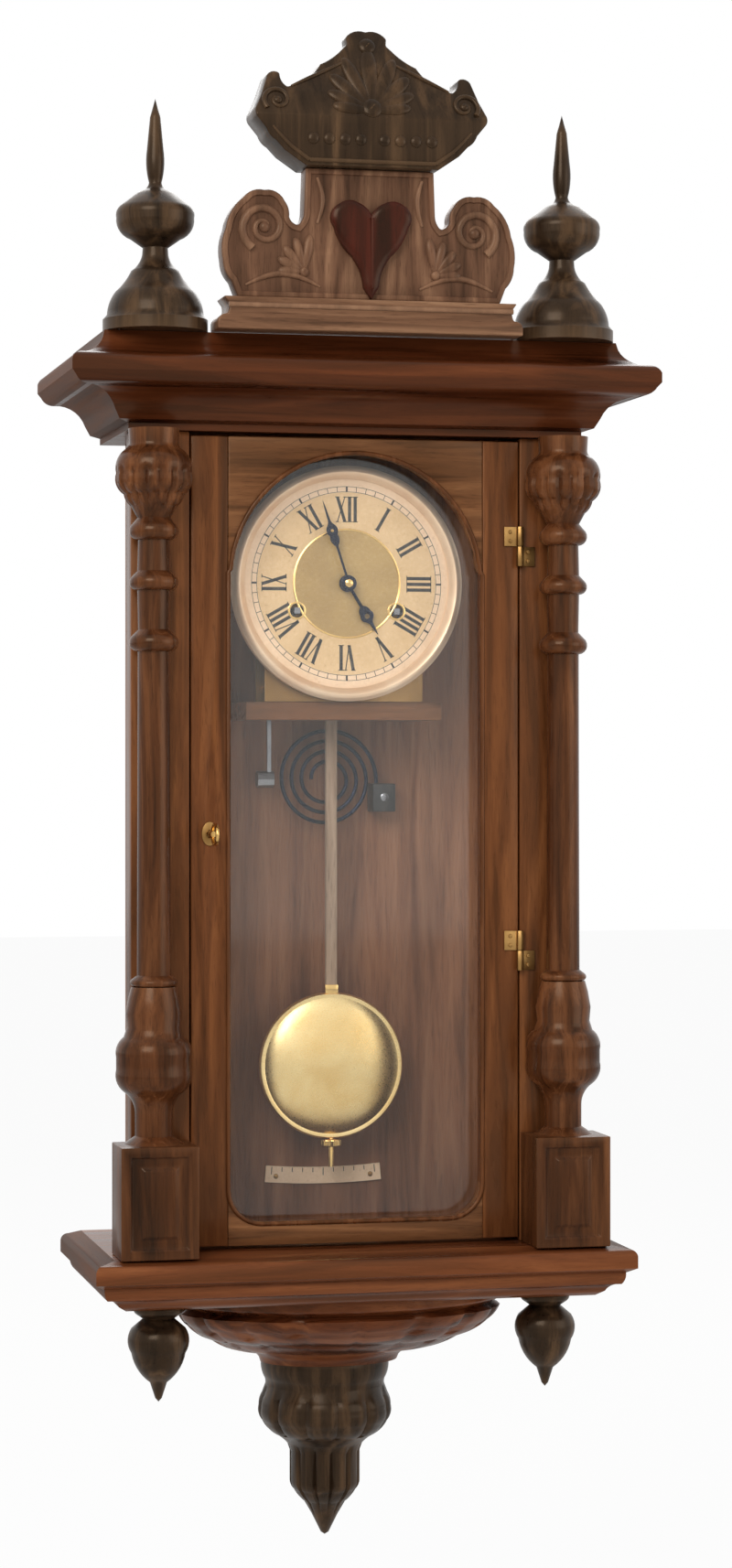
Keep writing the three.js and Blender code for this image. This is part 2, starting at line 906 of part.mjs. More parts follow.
function makeDoorHead() {
  const rim = doorInner - gap;
  const points = [new THREE.Vector2(-rim, door.top), new THREE.Vector2(-rim, door.headLow)];
  const start = Math.PI - Math.asin(door.headLow / door.archRadius);
  for (let k = 0; k <= steps.fine; k++) {
    const turn = start + (Math.PI - 2 * start) * (k / steps.fine);
    points.push(new THREE.Vector2(Math.cos(turn), Math.sin(turn)).multiplyScalar(door.archRadius));
  }
  points.push(new THREE.Vector2(rim, door.headLow), new THREE.Vector2(rim, door.top));
  const head = plate(shapeOf(points), door.front, doorBack);
  piece("door_head", cut(head, glassCutter()), walnut);
}

function makeDoorRail() {
  const rim = doorInner - gap;
  const low = -door.bottom;
  const high = low + door.railHeight;
  const half = [
    new THREE.Vector2(0, low),
    new THREE.Vector2(rim, low),
    new THREE.Vector2(rim, high + door.railCorner),
  ];
  for (let k = 1; k <= steps.leaf; k++) {
    const turn = (Math.PI / 2) * (k / steps.leaf);
    const x = rim - door.railCorner + door.railCorner * Math.cos(turn);
    half.push(new THREE.Vector2(x, high + door.railCorner * (1 - Math.sin(turn))));
  }
  half.push(new THREE.Vector2(0, high));
  const rail = plate(mirrored(half), door.front, doorBack);
  piece("door_rail", cut(rail, glassCutter()), walnut);
}

function makeDoorGlass() {
  const edge = doorInner + door.rebate - gap;
  const glass = block(
    [-edge, edge],
    [-door.glassBack - door.glassThickness, -door.glassBack],
    [-door.bottom + door.railHeight - door.rebate + gap, door.archRadius + door.rebate - gap],
  );
  piece("door_glass", glass, pane);
}

function makeHinges() {
  const axis = { x: hinge.x, y: -hinge.depth };
  const knuckle = (low, high, bore) => {
    const profile = [
      new THREE.Vector2(bore, low),
      new THREE.Vector2(hinge.knuckle, low),
      new THREE.Vector2(hinge.knuckle, high),
      new THREE.Vector2(bore, high),
    ];
    if (bore > 0) profile.push(profile[0]);
    return turned(profile, steps.hole * 2).translate(axis.x, axis.y, 0);
  };
  const leafBack = -door.front - gap;
  [
    { name: "upper", z: hinge.upper },
    { name: "lower", z: hinge.lower },
  ].forEach(({ name, z }) => {
    const pinPoints = [
      new THREE.Vector2(0, z - hinge.knuckle),
      new THREE.Vector2(hinge.pin, z - hinge.knuckle),
      new THREE.Vector2(hinge.pin, z + hinge.halfHeight),
      new THREE.Vector2(0, z + hinge.halfHeight),
    ];
    const pin = turned(pinPoints, steps.hole * 2).translate(axis.x, axis.y, 0);
    const fixedLeaf = block(
      [axis.x + gap, axis.x + hinge.leafWidth],
      [leafBack - hinge.leafThickness, leafBack],
      [z - hinge.halfHeight, z - gap],
    );
    const fixed = join(knuckle(z - hinge.halfHeight, z - gap, 0), fixedLeaf, pin);
    piece(`hinge_pin_${name}`, fixed, brass);
    const movingLeaf = block(
      [axis.x - hinge.leafWidth, axis.x - hinge.pin - 2 * gap],
      [leafBack - hinge.leafThickness, leafBack],
      [z + gap, z + hinge.halfHeight],
    );
    const sleeve = knuckle(z + gap, z + hinge.halfHeight, hinge.pin + gap);
    piece(`hinge_leaf_${name}`, join(sleeve, movingLeaf), brass);
  });
}

function makeLock() {
  const place = { x: -lock.x, z: lock.z };
  const shank = arborTurned(
    [
      [0, lock.keyFront],
      [lock.keyRadius, lock.keyFront],
      [lock.keyRadius, lock.boltDepth - lock.boltThickness / 2],
      [0, lock.boltDepth - lock.boltThickness / 2],
    ],
    place,
  );
  const bow = new THREE.TorusGeometry(lock.bowRadius, lock.bowThickness / 2, 6, steps.turning)
    .scale(1, lock.bowFlatShare, 1)
    .rotateX(Math.PI / 2)
    .rotateZ(Math.PI / 2)
    .translate(-lock.x, -lock.keyFront - lock.bowRadius + lock.bowThickness, lock.z);
  const bit = block(
    [-lock.x - lock.bitThickness / 2, -lock.x + lock.bitThickness / 2],
    [-lock.boltDepth - lock.boltThickness / 2, -lock.boltDepth + lock.boltThickness / 2],
    [lock.z - lock.bitLength, lock.z],
  );
  piece("door_key", join(shank, bow, bit), brass);
  const bolt = block(
    [-door.halfWidth + gap, -door.halfWidth + gap + lock.boltLength],
    [-lock.boltDepth - lock.boltThickness / 2, -lock.boltDepth + lock.boltThickness / 2],
    [lock.z - lock.boltHeight / 2, lock.z + lock.boltHeight / 2],
  );
  piece("lock_bolt", bolt, steel);
}

// Dial and hands

function makeDial() {
  const shape = new THREE.Shape();
  shape.absarc(0, 0, dial.radius, 0, Math.PI * 2);
  addHole(shape, 0, 0, dial.centreHole);
  sides.forEach(({ sign }) => addHole(shape, sign * windingSide.x, windingSide.z, dial.windingHole));
  const disc = plate(shape, dial.front, dial.front - dial.thickness, steps.fine);
  const feet = [90, 210, 330].map((degrees) => {
    const turn = THREE.MathUtils.degToRad(degrees);
    const place = { x: dial.footCircle * Math.cos(turn), z: dial.footCircle * Math.sin(turn) };
    return arborTurned(
      [
        [0, dial.front - dial.thickness / 2],
        [dial.footRadius, dial.front - dial.thickness / 2],
        [dial.footRadius, frame.plateFront + gap],
        [0, frame.plateFront + gap],
      ],
      place,
    );
  });
  piece("dial_plate", join(disc, ...feet), enamel);
  const ring = arborTurned(
    [
      [bezel.inner, dial.front + gap],
      [bezel.inner, bezel.innerFront],
      [bezel.crown, bezel.front],
      [bezel.outer, (bezel.front + dial.front) / 2],
      [bezel.outer, bezel.back],
      [dial.radius + gap, bezel.back],
      [dial.radius + gap, dial.front + gap],
      [bezel.inner, dial.front + gap],
    ],
    centre,
    steps.fine * 2,
  );
  piece("dial_bezel", geometryOf(solidOf(ring)), brass);
}

// A hand points up at rest in its own outline and is then turned to its time
const handShares = [
  [0.25, 0],
  [0.28, 0.45],
  [1, 0.58, 0.3],
  [0.9, 0.7, 0.4],
  [0.3, 0.78, -0.2],
  [0.2, 0.9],
  [0, 1],
];

function makeHand(name, length, width, boss, bore, frontDepth, degrees) {
  const right = outline(handShares, width / 2, length);
  const blade = plate(mirrored(right), frontDepth, frontDepth - hands.thickness);
  const hub = new THREE.Shape();
  hub.absarc(0, 0, boss, 0, Math.PI * 2);
  const disc = plate(hub, frontDepth, frontDepth - hands.thickness, steps.hole + 1);
  const hole = new THREE.Shape();
  hole.absarc(0, 0, bore, 0, Math.PI * 2);
  const drill = plate(hole, frontDepth + overrun, frontDepth - hands.thickness - overrun, steps.hole + 1);
  const hand = cut(join(blade, disc), drill);
  piece(name, hand.rotateY(THREE.MathUtils.degToRad(degrees)), bluedSteel);
}

function makeHands() {
  makeHand(
    "hour_hand",
    hands.hourLength,
    hands.hourWidth,
    hands.bossRadius,
    hourPipe.outer + gap,
    hands.hourFront,
    hands.hourDeg,
  );
  makeHand(
    "minute_hand",
    hands.minuteLength,
    hands.minuteWidth,
    hands.minuteBoss,
    cannonPipe.radius + gap,
    hands.minuteFront,
    hands.minuteDeg,
  );
}

// Wheel work

// A wheel's teeth are points with a V between them; a pinion's leaves are narrow, with flat roots.
// Addendum and dedendum are in modules, the other two are shares of the tooth pitch.
const toothForm = {
  wheel: { addendumShare: 0.85, dedendumShare: 1.6, rootShare: 0.5, tipShare: 0 },
  pinion: { addendumShare: 0.75, dedendumShare: 1.2, rootShare: 0.18, tipShare: 0.07 },
};

function distance(a, b) {
  return Math.hypot(a.x - b.x, a.z - b.z);
}

function bearing(from, to) {
  return Math.atan2(to.z - from.z, to.x - from.x);
}

// The outline of a gear about its own axis; a tooth stands at the turn given
function gearOutline(count, moduleSize, form, turn, centreHole) {
  const pitchRadius = (moduleSize * count) / 2;
  const tip = pitchRadius + form.addendumShare * moduleSize;
  const root = pitchRadius - form.dedendumShare * moduleSize;
  const pitchAngle = (2 * Math.PI) / count;
  const at = (radius, angle) => new THREE.Vector2(radius * Math.cos(angle), radius * Math.sin(angle));
  const points = [];
  for (let k = 0; k < count; k++) {
    const middle = turn + k * pitchAngle;
    if (form.rootShare < 0.5) points.push(at(root, middle - form.rootShare * pitchAngle));
    if (form.tipShare > 0) points.push(at(tip, middle - form.tipShare * pitchAngle));
    points.push(at(tip, middle + form.tipShare * pitchAngle));
    points.push(at(root, middle + form.rootShare * pitchAngle));
  }
  const shape = shapeOf(points);
  if (centreHole > 0) addHole(shape, 0, 0, centreHole);
  return shape;
}

// A wheel at its place, with its back face at the given depth from the wall
function gear({ count, moduleSize, form, turn, place, back, thickness, hole = 0 }) {
  const shape = gearOutline(count, moduleSize, form, turn, hole);
  return plate(shape, back + thickness, back).translate(place.x, 0, place.z);
}

// A wheel and the pinion that it meshes with share a module and a line of centres
function meshing(wheelCount, wheelPlace, pinionCount, pinionPlace) {
  const moduleSize = (2 * distance(wheelPlace, pinionPlace)) / (wheelCount + pinionCount);
  const wheel = { moduleSize, turn: bearing(wheelPlace, pinionPlace) };
  const pinion = {
    moduleSize,
    turn: bearing(pinionPlace, wheelPlace) + Math.PI / pinionCount,
  };
  return {
    wheel: { ...wheel, count: wheelCount, place: wheelPlace, form: toothForm.wheel },
    pinion: { ...pinion, count: pinionCount, place: pinionPlace, form: toothForm.pinion },
  };
}

const greatMesh = meshing(teeth.great, windingSide, teeth.intermediatePinion, intermediate);
const intermediateMesh = meshing(teeth.intermediate, intermediate, teeth.centrePinion, centre);
const centreMesh = meshing(teeth.centre, centre, teeth.thirdPinion, third);
const thirdMesh = meshing(teeth.third, third, teeth.escapePinion, escape);
const minuteMesh = meshing(teeth.minute, minuteArbor, teeth.cannon, centre);
const hourMesh = meshing(teeth.hour, centre, teeth.minutePinion, minuteArbor);

// A plain arbor between the plates, with a thin pivot at each end
function arbor(place) {
  const frontDepth = frame.plateFront - gap;
  const backDepth = plateBack - frame.plateThickness + gap;
  const innerFront = frame.plateFront - frame.plateThickness - gap;
  const innerBack = plateBack + gap;
  return arborTurned(
    [
      [0, frontDepth],
      [pivotRadius, frontDepth],
      [pivotRadius, innerFront],
      [arborRadius, innerFront],
      [arborRadius, innerBack],
      [pivotRadius, innerBack],
      [pivotRadius, backDepth],
      [0, backDepth],
    ],
    place,
    steps.leaf,
  );
}

function rod(place, radius, frontDepth, backDepth, sidesCount = steps.leaf) {
  return arborTurned(
    [
      [0, frontDepth],
      [radius, frontDepth],
      [radius, backDepth],
      [0, backDepth],
    ],
    place,
    sidesCount,
  );
}

function makeWheelWork() {
  const centreParts = join(
    arbor(centre),
    rod(centre, cannonPipe.radius, cannonPipe.front, layer.centreWheel, steps.hole * 2),
    gear({ ...centreMesh.wheel, back: layer.centreWheel, thickness: wheelThickness }),
    gear({
      ...intermediateMesh.pinion,
      back: layer.intermediateWheel - pinionLead,
      thickness: shortPinion,
    }),
    gear({ ...minuteMesh.pinion, back: frame.plateFront + gap, thickness: pinionLength - gap }),
  );
  piece("centre_arbor", centreParts, brass);

  const intermediateParts = join(
    arbor(intermediate),
    gear({ ...intermediateMesh.wheel, back: layer.intermediateWheel, thickness: wheelThickness }),
    gear({ ...greatMesh.pinion, back: layer.greatWheel - gap, thickness: pinionLength }),
  );
  piece("intermediate_wheel", intermediateParts, brass);

  const thirdParts = join(
    arbor(third),
    gear({ ...thirdMesh.wheel, back: layer.thirdWheel, thickness: wheelThickness }),
    gear({
      ...centreMesh.pinion,
      back: layer.centreWheel - pinionLead,
      thickness: shortPinion,
    }),
  );
  piece("third_wheel", thirdParts, brass);

  const escapeParts = join(
    arbor(escape),
    plate(escapeOutline(), layer.escapeWheel + wheelThickness, layer.escapeWheel),
    gear({
      ...thirdMesh.pinion,
      back: layer.thirdWheel - pinionLead,
      thickness: shortPinion,
    }),
  );
  piece("escape_wheel", escapeParts, brass);

  const minuteParts = join(
    rod(minuteArbor, pivotRadius, dial.front - dial.thickness - gap, frame.plateFront - wheelThickness),
    gear({ ...minuteMesh.wheel, back: layer.minuteWheel, thickness: wheelThickness }),
    gear({ ...hourMesh.pinion, back: layer.minuteWheel, thickness: pinionLength + wheelThickness }),
  );
  piece("minute_wheel", minuteParts, brass);

  const hourPipePoints = arborTurned(
    [
      [hourPipe.inner, hourPipe.front],
      [hourPipe.outer, hourPipe.front],
      [hourPipe.outer, layer.hourWheel],
      [hourPipe.inner, layer.hourWheel],
      [hourPipe.inner, hourPipe.front],
    ],
    centre,
    steps.hole * 2,
  );
  const hourGear = gear({
    ...hourMesh.wheel,
    back: layer.hourWheel,
    thickness: wheelThickness,
    hole: (hourPipe.inner + hourPipe.outer) / 2,
  });
  piece("hour_wheel", join(hourPipePoints, hourGear), brass);
}

function escapeOutline() {
  const pitchAngle = (2 * Math.PI) / teeth.escape;
  const points = [];
  for (let k = 0; k < teeth.escape; k++) {
    const start = k * pitchAngle;
    const tip = escapeWheelRadius;
    const root = escapeWheelRadius * escapeTooth.rootShare;
    points.push(new THREE.Vector2(root * Math.cos(start), escape.z + root * Math.sin(start)));
    const lean = start + pitchAngle * escapeTooth.tipShare;
    points.push(new THREE.Vector2(tip * Math.cos(lean), escape.z + tip * Math.sin(lean)));
    const heel = start + pitchAngle * escapeTooth.heelShare;
    points.push(new THREE.Vector2(root * Math.cos(heel), escape.z + root * Math.sin(heel)));
  }
  return shapeOf(points);
}

function makeBarrels() {
  [
    { name: "going", sign: 1 },
    { name: "strike", sign: -1 },
  ].forEach(({ name, sign }) => {
    const place = { x: sign * windingSide.x, z: windingSide.z };
    const drum = arborTurned(
      [
        [barrel.boreRadius, layer.drumFront],
        [barrel.drumRadius, layer.drumFront],
        [barrel.drumRadius, layer.drumBack],
        [barrel.boreRadius, layer.drumBack],
        [barrel.boreRadius, layer.drumFront],
      ],
      place,
      steps.fine,
    );
    const wheel = gear({
      ...greatMesh.wheel,
      place,
      back: layer.greatWheel,
      thickness: wheelThickness,
      hole: barrel.boreRadius + gap,
    });
    piece(`${name}_barrel`, join(drum, wheel), brass);
    const shaft = rod(
      place,
      barrel.arborRadius,
      frame.plateFront + gap,
      plateBack - frame.plateThickness + gap,
      steps.hole * 2,
    );
    const square = block(
      [place.x - barrel.square / 2, place.x + barrel.square / 2],
      [-barrel.squareFront, -frame.plateFront],
      [place.z - barrel.square / 2, place.z + barrel.square / 2],
    );
    piece(`${name}_winding_arbor`, join(shaft, square), steel);
  });
}

// Movement frame

function plateShape() {
  return shapeOf([
    new THREE.Vector2(-frame.halfWidth, -frame.bottom),
    new THREE.Vector2(frame.halfWidth, -frame.bottom),
    new THREE.Vector2(frame.halfWidth, frame.top),
    new THREE.Vector2(frame.crownHalf, frame.crownTop),
    new THREE.Vector2(-frame.crownHalf, frame.crownTop),
    new THREE.Vector2(-frame.halfWidth, frame.top),
  ]);
}

function drillPlate(shape, centreRadius) {
  const pivotHole = pivotRadius + gap;
  [intermediate, third, escape, hammerAxis].forEach(({ x, z }) => addHole(shape, x, z, pivotHole));
  sides.forEach(({ sign }) =>
    addHole(shape, sign * windingSide.x, windingSide.z, barrel.arborRadius + gap),
  );
  addHole(shape, centre.x, centre.z, centreRadius);
  addHole(shape, anchorAxis.x, anchorAxis.z, arborRadius + gap);
}

function makePlates() {
  const front = plateShape();
  drillPlate(front, cannonPipe.radius + gap);
  addHole(front, minuteArbor.x, minuteArbor.z, pivotRadius + gap);
  const frontBack = frame.plateFront - frame.plateThickness;
  piece("front_plate", plate(front, frame.plateFront, frontBack, steps.hole), brass);
  const back = plateShape();
  drillPlate(back, pivotRadius + gap);
  const backPlate = plate(back, plateBack, plateBack - frame.plateThickness, steps.hole);
  const pillars = sides.flatMap(({ sign }) =>
    [frame.pillarTop, -frame.pillarLow].map((z) =>
      rod(
        { x: sign * frame.pillarX, z },
        frame.pillarRadius,
        frontBack - gap,
        plateBack - frame.plateThickness / 2,
        steps.hole * 2,
      ),
    ),
  );
  piece("back_plate", join(backPlate, ...pillars), brass);
}

function makeSeatboard() {
  const top = -frame.bottom - gap;
  const bar = block(
    [-seatboard.halfWidth, seatboard.halfWidth],
    [-seatboard.front, -carcase.backThickness - gap],
    [top - seatboard.thickness, top],
  );
  const notch = block(
    [-seatboard.notchLeft, seatboard.notchRight],
    [-seatboard.front + seatboard.barDepth, 0],
    [top - seatboard.thickness - overrun, top + overrun],
  );
  piece("seatboard", cut(bar, notch), walnut);
}

// Escapement and pendulum

function makeAnchor() {
  const z = anchorAxis.z;
  const half = [
    new THREE.Vector2(0, z + anchor.hub),
    new THREE.Vector2(-anchor.hub, z + anchor.hub / 2),
    new THREE.Vector2(-anchor.armX - anchor.tip, z - anchor.armZ + anchor.tip),
    new THREE.Vector2(-anchor.armX, z - anchor.armZ),
    new THREE.Vector2(-anchor.hub, z - anchor.hub),
    new THREE.Vector2(0, z - anchor.hub),
  ];
  const pallets = plate(mirrored(half), anchor.front, anchor.front - anchor.thickness);
  const staff = arborTurned(
    [
      [0, frame.plateFront - gap],
      [arborRadius, frame.plateFront - gap],
      [arborRadius, crutch.front - crutch.thickness],
      [0, crutch.front - crutch.thickness],
    ],
    anchorAxis,
    steps.leaf,
  );
  piece("anchor", join(pallets, staff, ...crutchParts()), steel);
}

// The crutch is riveted to the back end of the pallet staff and forks round the rod
function crutchParts() {
  const z = anchorAxis.z;
  const rodHalf = pendulum.rodWidth / 2 + gap;
  const back = crutch.front - crutch.thickness;
  const hub = rod(anchorAxis, anchor.hub, crutch.front, back, steps.leaf);
  const arm = block(
    [-crutch.width / 2, crutch.width / 2],
    [-crutch.front, -back],
    [z - crutch.length, z],
  );
  const bridge = block(
    [-rodHalf - crutch.prong, rodHalf + crutch.prong],
    [-crutch.front, -back],
    [z - crutch.length - crutch.prongHeight, z - crutch.length],
  );
  const prongs = sides.map(({ sign }) =>
    block(
      [sign * rodHalf, sign * (rodHalf + crutch.prong)],
      [-crutch.front, -crutch.back],
      [z - crutch.length - crutch.prongHeight, z - crutch.length],
    ),
  );
  return [hub, arm, bridge, ...prongs];
}

function makeSuspension() {
  const plateFace = plateBack - frame.plateThickness - gap;
  const cheeks = sides.map(({ sign }) =>
    block(
      [sign * cock.cheekInner, sign * cock.cheekOuter],
      [-plateFace, -cock.back],
      [cock.bottom, cock.top],
    ),
  );
  const grip = block(
    [-cock.cheekOuter, cock.cheekOuter],
    [-cock.blockFront, -cock.back],
    [anchorAxis.z + gap, cock.top],
  );
  piece("suspension_cock", join(grip, ...cheeks), brass);
  const bottom = anchorAxis.z - pendulum.springLength;
  const strip = block(
    [-pendulum.springWidth / 2, pendulum.springWidth / 2],
    [-pendulum.depth - pendulum.springThickness / 2, -pendulum.depth + pendulum.springThickness / 2],
    [bottom - gap, anchorAxis.z - gap],
  );
  const clamp = block(
    [-pendulum.blockWidth / 2, pendulum.blockWidth / 2],
    [-pendulum.depth - pendulum.rodThickness / 2, -pendulum.depth + pendulum.rodThickness / 2],
    [bottom - pendulum.blockHeight, bottom],
  );
  piece("suspension_spring", join(strip, clamp), steel);
}

const lensShares = [
  [0, 0],
  [1, 0.4, 0.16],
  [1, 0.6],
  [0, 1, 0.16],
];

function makePendulum() {
  const rodTop = anchorAxis.z - pendulum.springLength - pendulum.blockHeight - gap;
  const lath = block(
    [-pendulum.rodWidth / 2, pendulum.rodWidth / 2],
    [-pendulum.depth - pendulum.rodThickness / 2, -pendulum.depth + pendulum.rodThickness / 2],
    [-pendulum.rodEnd, rodTop],
  );
  const stud = turned(
    [
      new THREE.Vector2(0, 0),
      new THREE.Vector2(pendulum.studRadius, 0),
      new THREE.Vector2(pendulum.studRadius, pendulum.studEnd - pendulum.rodEnd + gap),
      new THREE.Vector2(0, pendulum.studEnd - pendulum.rodEnd + gap),
    ],
    steps.hole * 2,
  ).translate(0, -pendulum.depth, -pendulum.studEnd);
  piece("pendulum_rod", join(lath, stud), rodWood);

  const lensPoints = outline(lensShares, pendulum.bobRadius, pendulum.bobThickness);
  const lens = new THREE.LatheGeometry(lensPoints, steps.fine * 2).translate(
    0,
    -pendulum.depth - pendulum.bobThickness / 2,
    -pendulum.bobCentre,
  );
  const slot = block(
    [-pendulum.rodWidth / 2 - gap, pendulum.rodWidth / 2 + gap],
    [
      -pendulum.depth - pendulum.rodThickness / 2 - gap,
      -pendulum.depth + pendulum.rodThickness / 2 + gap,
    ],
    [
      -pendulum.bobCentre - pendulum.bobRadius - overrun,
      -pendulum.bobCentre + pendulum.bobRadius + overrun,
    ],
  );
  piece("pendulum_bob", cut(lens, slot), brass);

  const nutTop = -pendulum.bobCentre - pendulum.bobRadius - gap;
  const nut = turned(
    [
      new THREE.Vector2(pendulum.studRadius + gap, 0),
      new THREE.Vector2(pendulum.nutRadius, 0),
      new THREE.Vector2(pendulum.nutRadius, pendulum.nutHeight),
      new THREE.Vector2(pendulum.studRadius + gap, pendulum.nutHeight),
      new THREE.Vector2(pendulum.studRadius + gap, 0),
    ],
    steps.turning,
  ).translate(0, -pendulum.depth, nutTop - pendulum.nutHeight);
  piece("rating_nut", geometryOf(solidOf(nut)), brass);
}

// Strike work and what hangs on the backboard

// The gong's centre line: a straight end in the block, then a spiral that winds inwards
function gongLine() {
  const points = [new THREE.Vector3(gong.x + gong.radius, -gong.depth, gong.z - gong.wire)];
  const count = Math.round(gong.loops * gongSteps);
  for (let k = 0; k <= count; k++) {
    const turn = (2 * Math.PI * k) / gongSteps;
    const radius = gong.radius - (gong.pitch * k) / gongSteps;
    points.push(
      new THREE.Vector3(
        gong.x + radius * Math.cos(turn),
        -gong.depth,
        gong.z + radius * Math.sin(turn),
      ),
    );
  }
  return points;
}

// The least space between two turns of the gong, measured between its centre points
function gongLeastGap(points) {
  const near = Math.round(gongSteps / 2);
  let least = Infinity;
  points.forEach((a, i) =>
    points.slice(i + near).forEach((b) => (least = Math.min(least, a.distanceTo(b)))),
  );
  return least - gong.wire;
}

function makeGong() {
  const line = gongLine();
  console.log(`gong: least gap to itself ${gongLeastGap(line).toFixed(2)} mm`);
  const vertices = [];
  const index = [];
  const depthWay = new THREE.Vector3(0, 1, 0);
  line.forEach((point, i) => {
    const ahead = line[Math.min(i + 1, line.length - 1)];
    const behind = line[Math.max(i - 1, 0)];
    const along = ahead.clone().sub(behind).normalize();
    const across = new THREE.Vector3().crossVectors(along, depthWay);
    for (let k = 0; k < gongSides; k++) {
      const turn = (2 * Math.PI * k) / gongSides;
      const corner = point
        .clone()
        .addScaledVector(across, (Math.cos(turn) * gong.wire) / 2)
        .addScaledVector(depthWay, (Math.sin(turn) * gong.wire) / 2);
      vertices.push(corner.x, corner.y, corner.z);
    }
  });
  for (let ring = 0; ring < line.length - 1; ring++) {
    for (let k = 0; k < gongSides; k++) {
      const a = ring * gongSides + k;
      const b = ring * gongSides + ((k + 1) % gongSides);
      index.push(a, b, a + gongSides, b, b + gongSides, a + gongSides);
    }
  }
  const last = (line.length - 1) * gongSides;
  for (let k = 1; k < gongSides - 1; k++) {
    index.push(0, k + 1, k, last, last + k, last + k + 1);
  }
  const coil = new THREE.BufferGeometry();
  coil.setAttribute("position", new THREE.Float32BufferAttribute(vertices, 3));
  coil.setIndex(index);
  piece("gong_coil", geometryOf(solidOf(coil)), bluedSteel);

  const top = gong.z - gong.wire - gap;
  const stand = block(
    [gong.x + gongBlock.inner, gong.x + gongBlock.outer],
    [-carcase.backThickness - gap, -gongBlock.front],
    [top - gongBlock.height, top],
  );
  piece("gong_block", stand, castIron);
}

function makeHammer() {
  const armBack = hammer.armFront - hammer.arm;
  const staff = arborTurned(
    [
      [0, frame.plateFront - gap],
      [pivotRadius, frame.plateFront - gap],
      [pivotRadius, frame.plateFront - frame.plateThickness - gap],
      [arborRadius, frame.plateFront - frame.plateThickness - gap],
      [arborRadius, plateBack + gap],
      [pivotRadius, plateBack + gap],
      [pivotRadius, plateBack - frame.plateThickness - gap],
      [arborRadius, plateBack - frame.plateThickness - gap],
      [arborRadius, armBack],
      [0, armBack],
    ],
    hammerAxis,
    steps.leaf,
  );
  const arm = block(
    [hammerAxis.x - hammer.arm / 2, hammerAxis.x + hammer.arm / 2],
    [-hammer.armFront, -armBack],
    [gong.z, hammerAxis.z + hammer.arm],
  );
  const face = gong.x - gong.radius - gong.wire / 2 - hammer.strikeGap;
  const head = new THREE.CylinderGeometry(
    hammer.headRadius,
    hammer.headRadius,
    hammer.headLength,
    steps.hole * 2,
  )
    .rotateZ(Math.PI / 2)
    .translate(face - hammer.headLength / 2, -gong.depth, gong.z);
  piece("hammer", join(staff, arm, head), steel);
}

function makeBeatScale() {
  const half = THREE.MathUtils.degToRad(beat.halfDeg);
  const points = [];
  const ring = (radius, turn) =>
    new THREE.Vector2(radius * Math.sin(turn), anchorAxis.z - radius * Math.cos(turn));
  for (let k = 0; k <= steps.leaf; k++) {
    points.push(ring(beat.radius, half * ((2 * k) / steps.leaf - 1)));
  }
  for (let k = steps.leaf; k >= 0; k--) {
    points.push(ring(beat.radius + beat.width, half * ((2 * k) / steps.leaf - 1)));
  }
  const back = carcase.backThickness + gap;
  piece("beat_scale", plate(shapeOf(points), back + beat.thickness, back), enamel);
}

makeBackboard();
makeHanger();
makeSideFrames();
makeCornice();
makePlinth();
makeBowl();
makeBottomFinial();
makeDrops();
makeFinials();
makeColumns();
makePedestals();
makeCrestBase();
makeCrestPanel();
makeCrestCap();
makeCrestOrnament();
makeDoorStiles();
makeDoorHead();
makeDoorRail();
makeDoorGlass();
makeHinges();
makeLock();
makeDial();
makeHands();
makeWheelWork();
makeBarrels();
makePlates();
makeSeatboard();
makeAnchor();
makeSuspension();
makePendulum();
makeGong();
makeHammer();
makeBeatScale();

export default clock;
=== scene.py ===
"""A spring-driven wall regulator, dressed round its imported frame.

Lengths are in millimetres until a piece is made. X is to the viewer's right, Y into the wall
and Z up, from the wall plane behind the centre of the dial. A depth, a front or a back is a
distance from the wall towards the viewer, and a foot is a piece's lowest height.
"""

from math import atan, atan2, copysign, cos, pi, radians, sin
from types import SimpleNamespace as Sizes

import bpy
from mathutils import Matrix, Vector


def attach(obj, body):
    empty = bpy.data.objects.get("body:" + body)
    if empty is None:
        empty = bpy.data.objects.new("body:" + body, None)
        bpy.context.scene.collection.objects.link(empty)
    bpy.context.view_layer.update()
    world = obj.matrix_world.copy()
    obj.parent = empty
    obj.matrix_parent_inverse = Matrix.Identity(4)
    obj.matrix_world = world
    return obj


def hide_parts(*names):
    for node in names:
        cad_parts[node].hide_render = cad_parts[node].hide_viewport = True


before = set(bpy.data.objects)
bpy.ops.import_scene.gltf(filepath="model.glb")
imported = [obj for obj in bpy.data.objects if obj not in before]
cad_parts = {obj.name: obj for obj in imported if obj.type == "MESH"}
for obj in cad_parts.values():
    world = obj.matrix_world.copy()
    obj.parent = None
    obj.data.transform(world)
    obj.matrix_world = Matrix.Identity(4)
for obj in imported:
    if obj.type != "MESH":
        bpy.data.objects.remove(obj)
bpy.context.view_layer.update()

MM = 0.001
GAP = 0.3
WELD = 0.00001
SPARE = 4  # how far a cutter reaches past what it cuts
NEEDLE = 0.05  # the radius of a tip before it is closed
SMOOTH_BELOW = radians(38)
UP_TO_FRONT = (pi / 2, 0, 0)  # turns what stands upright to face the viewer
SIDES = {"left": -1, "right": 1}

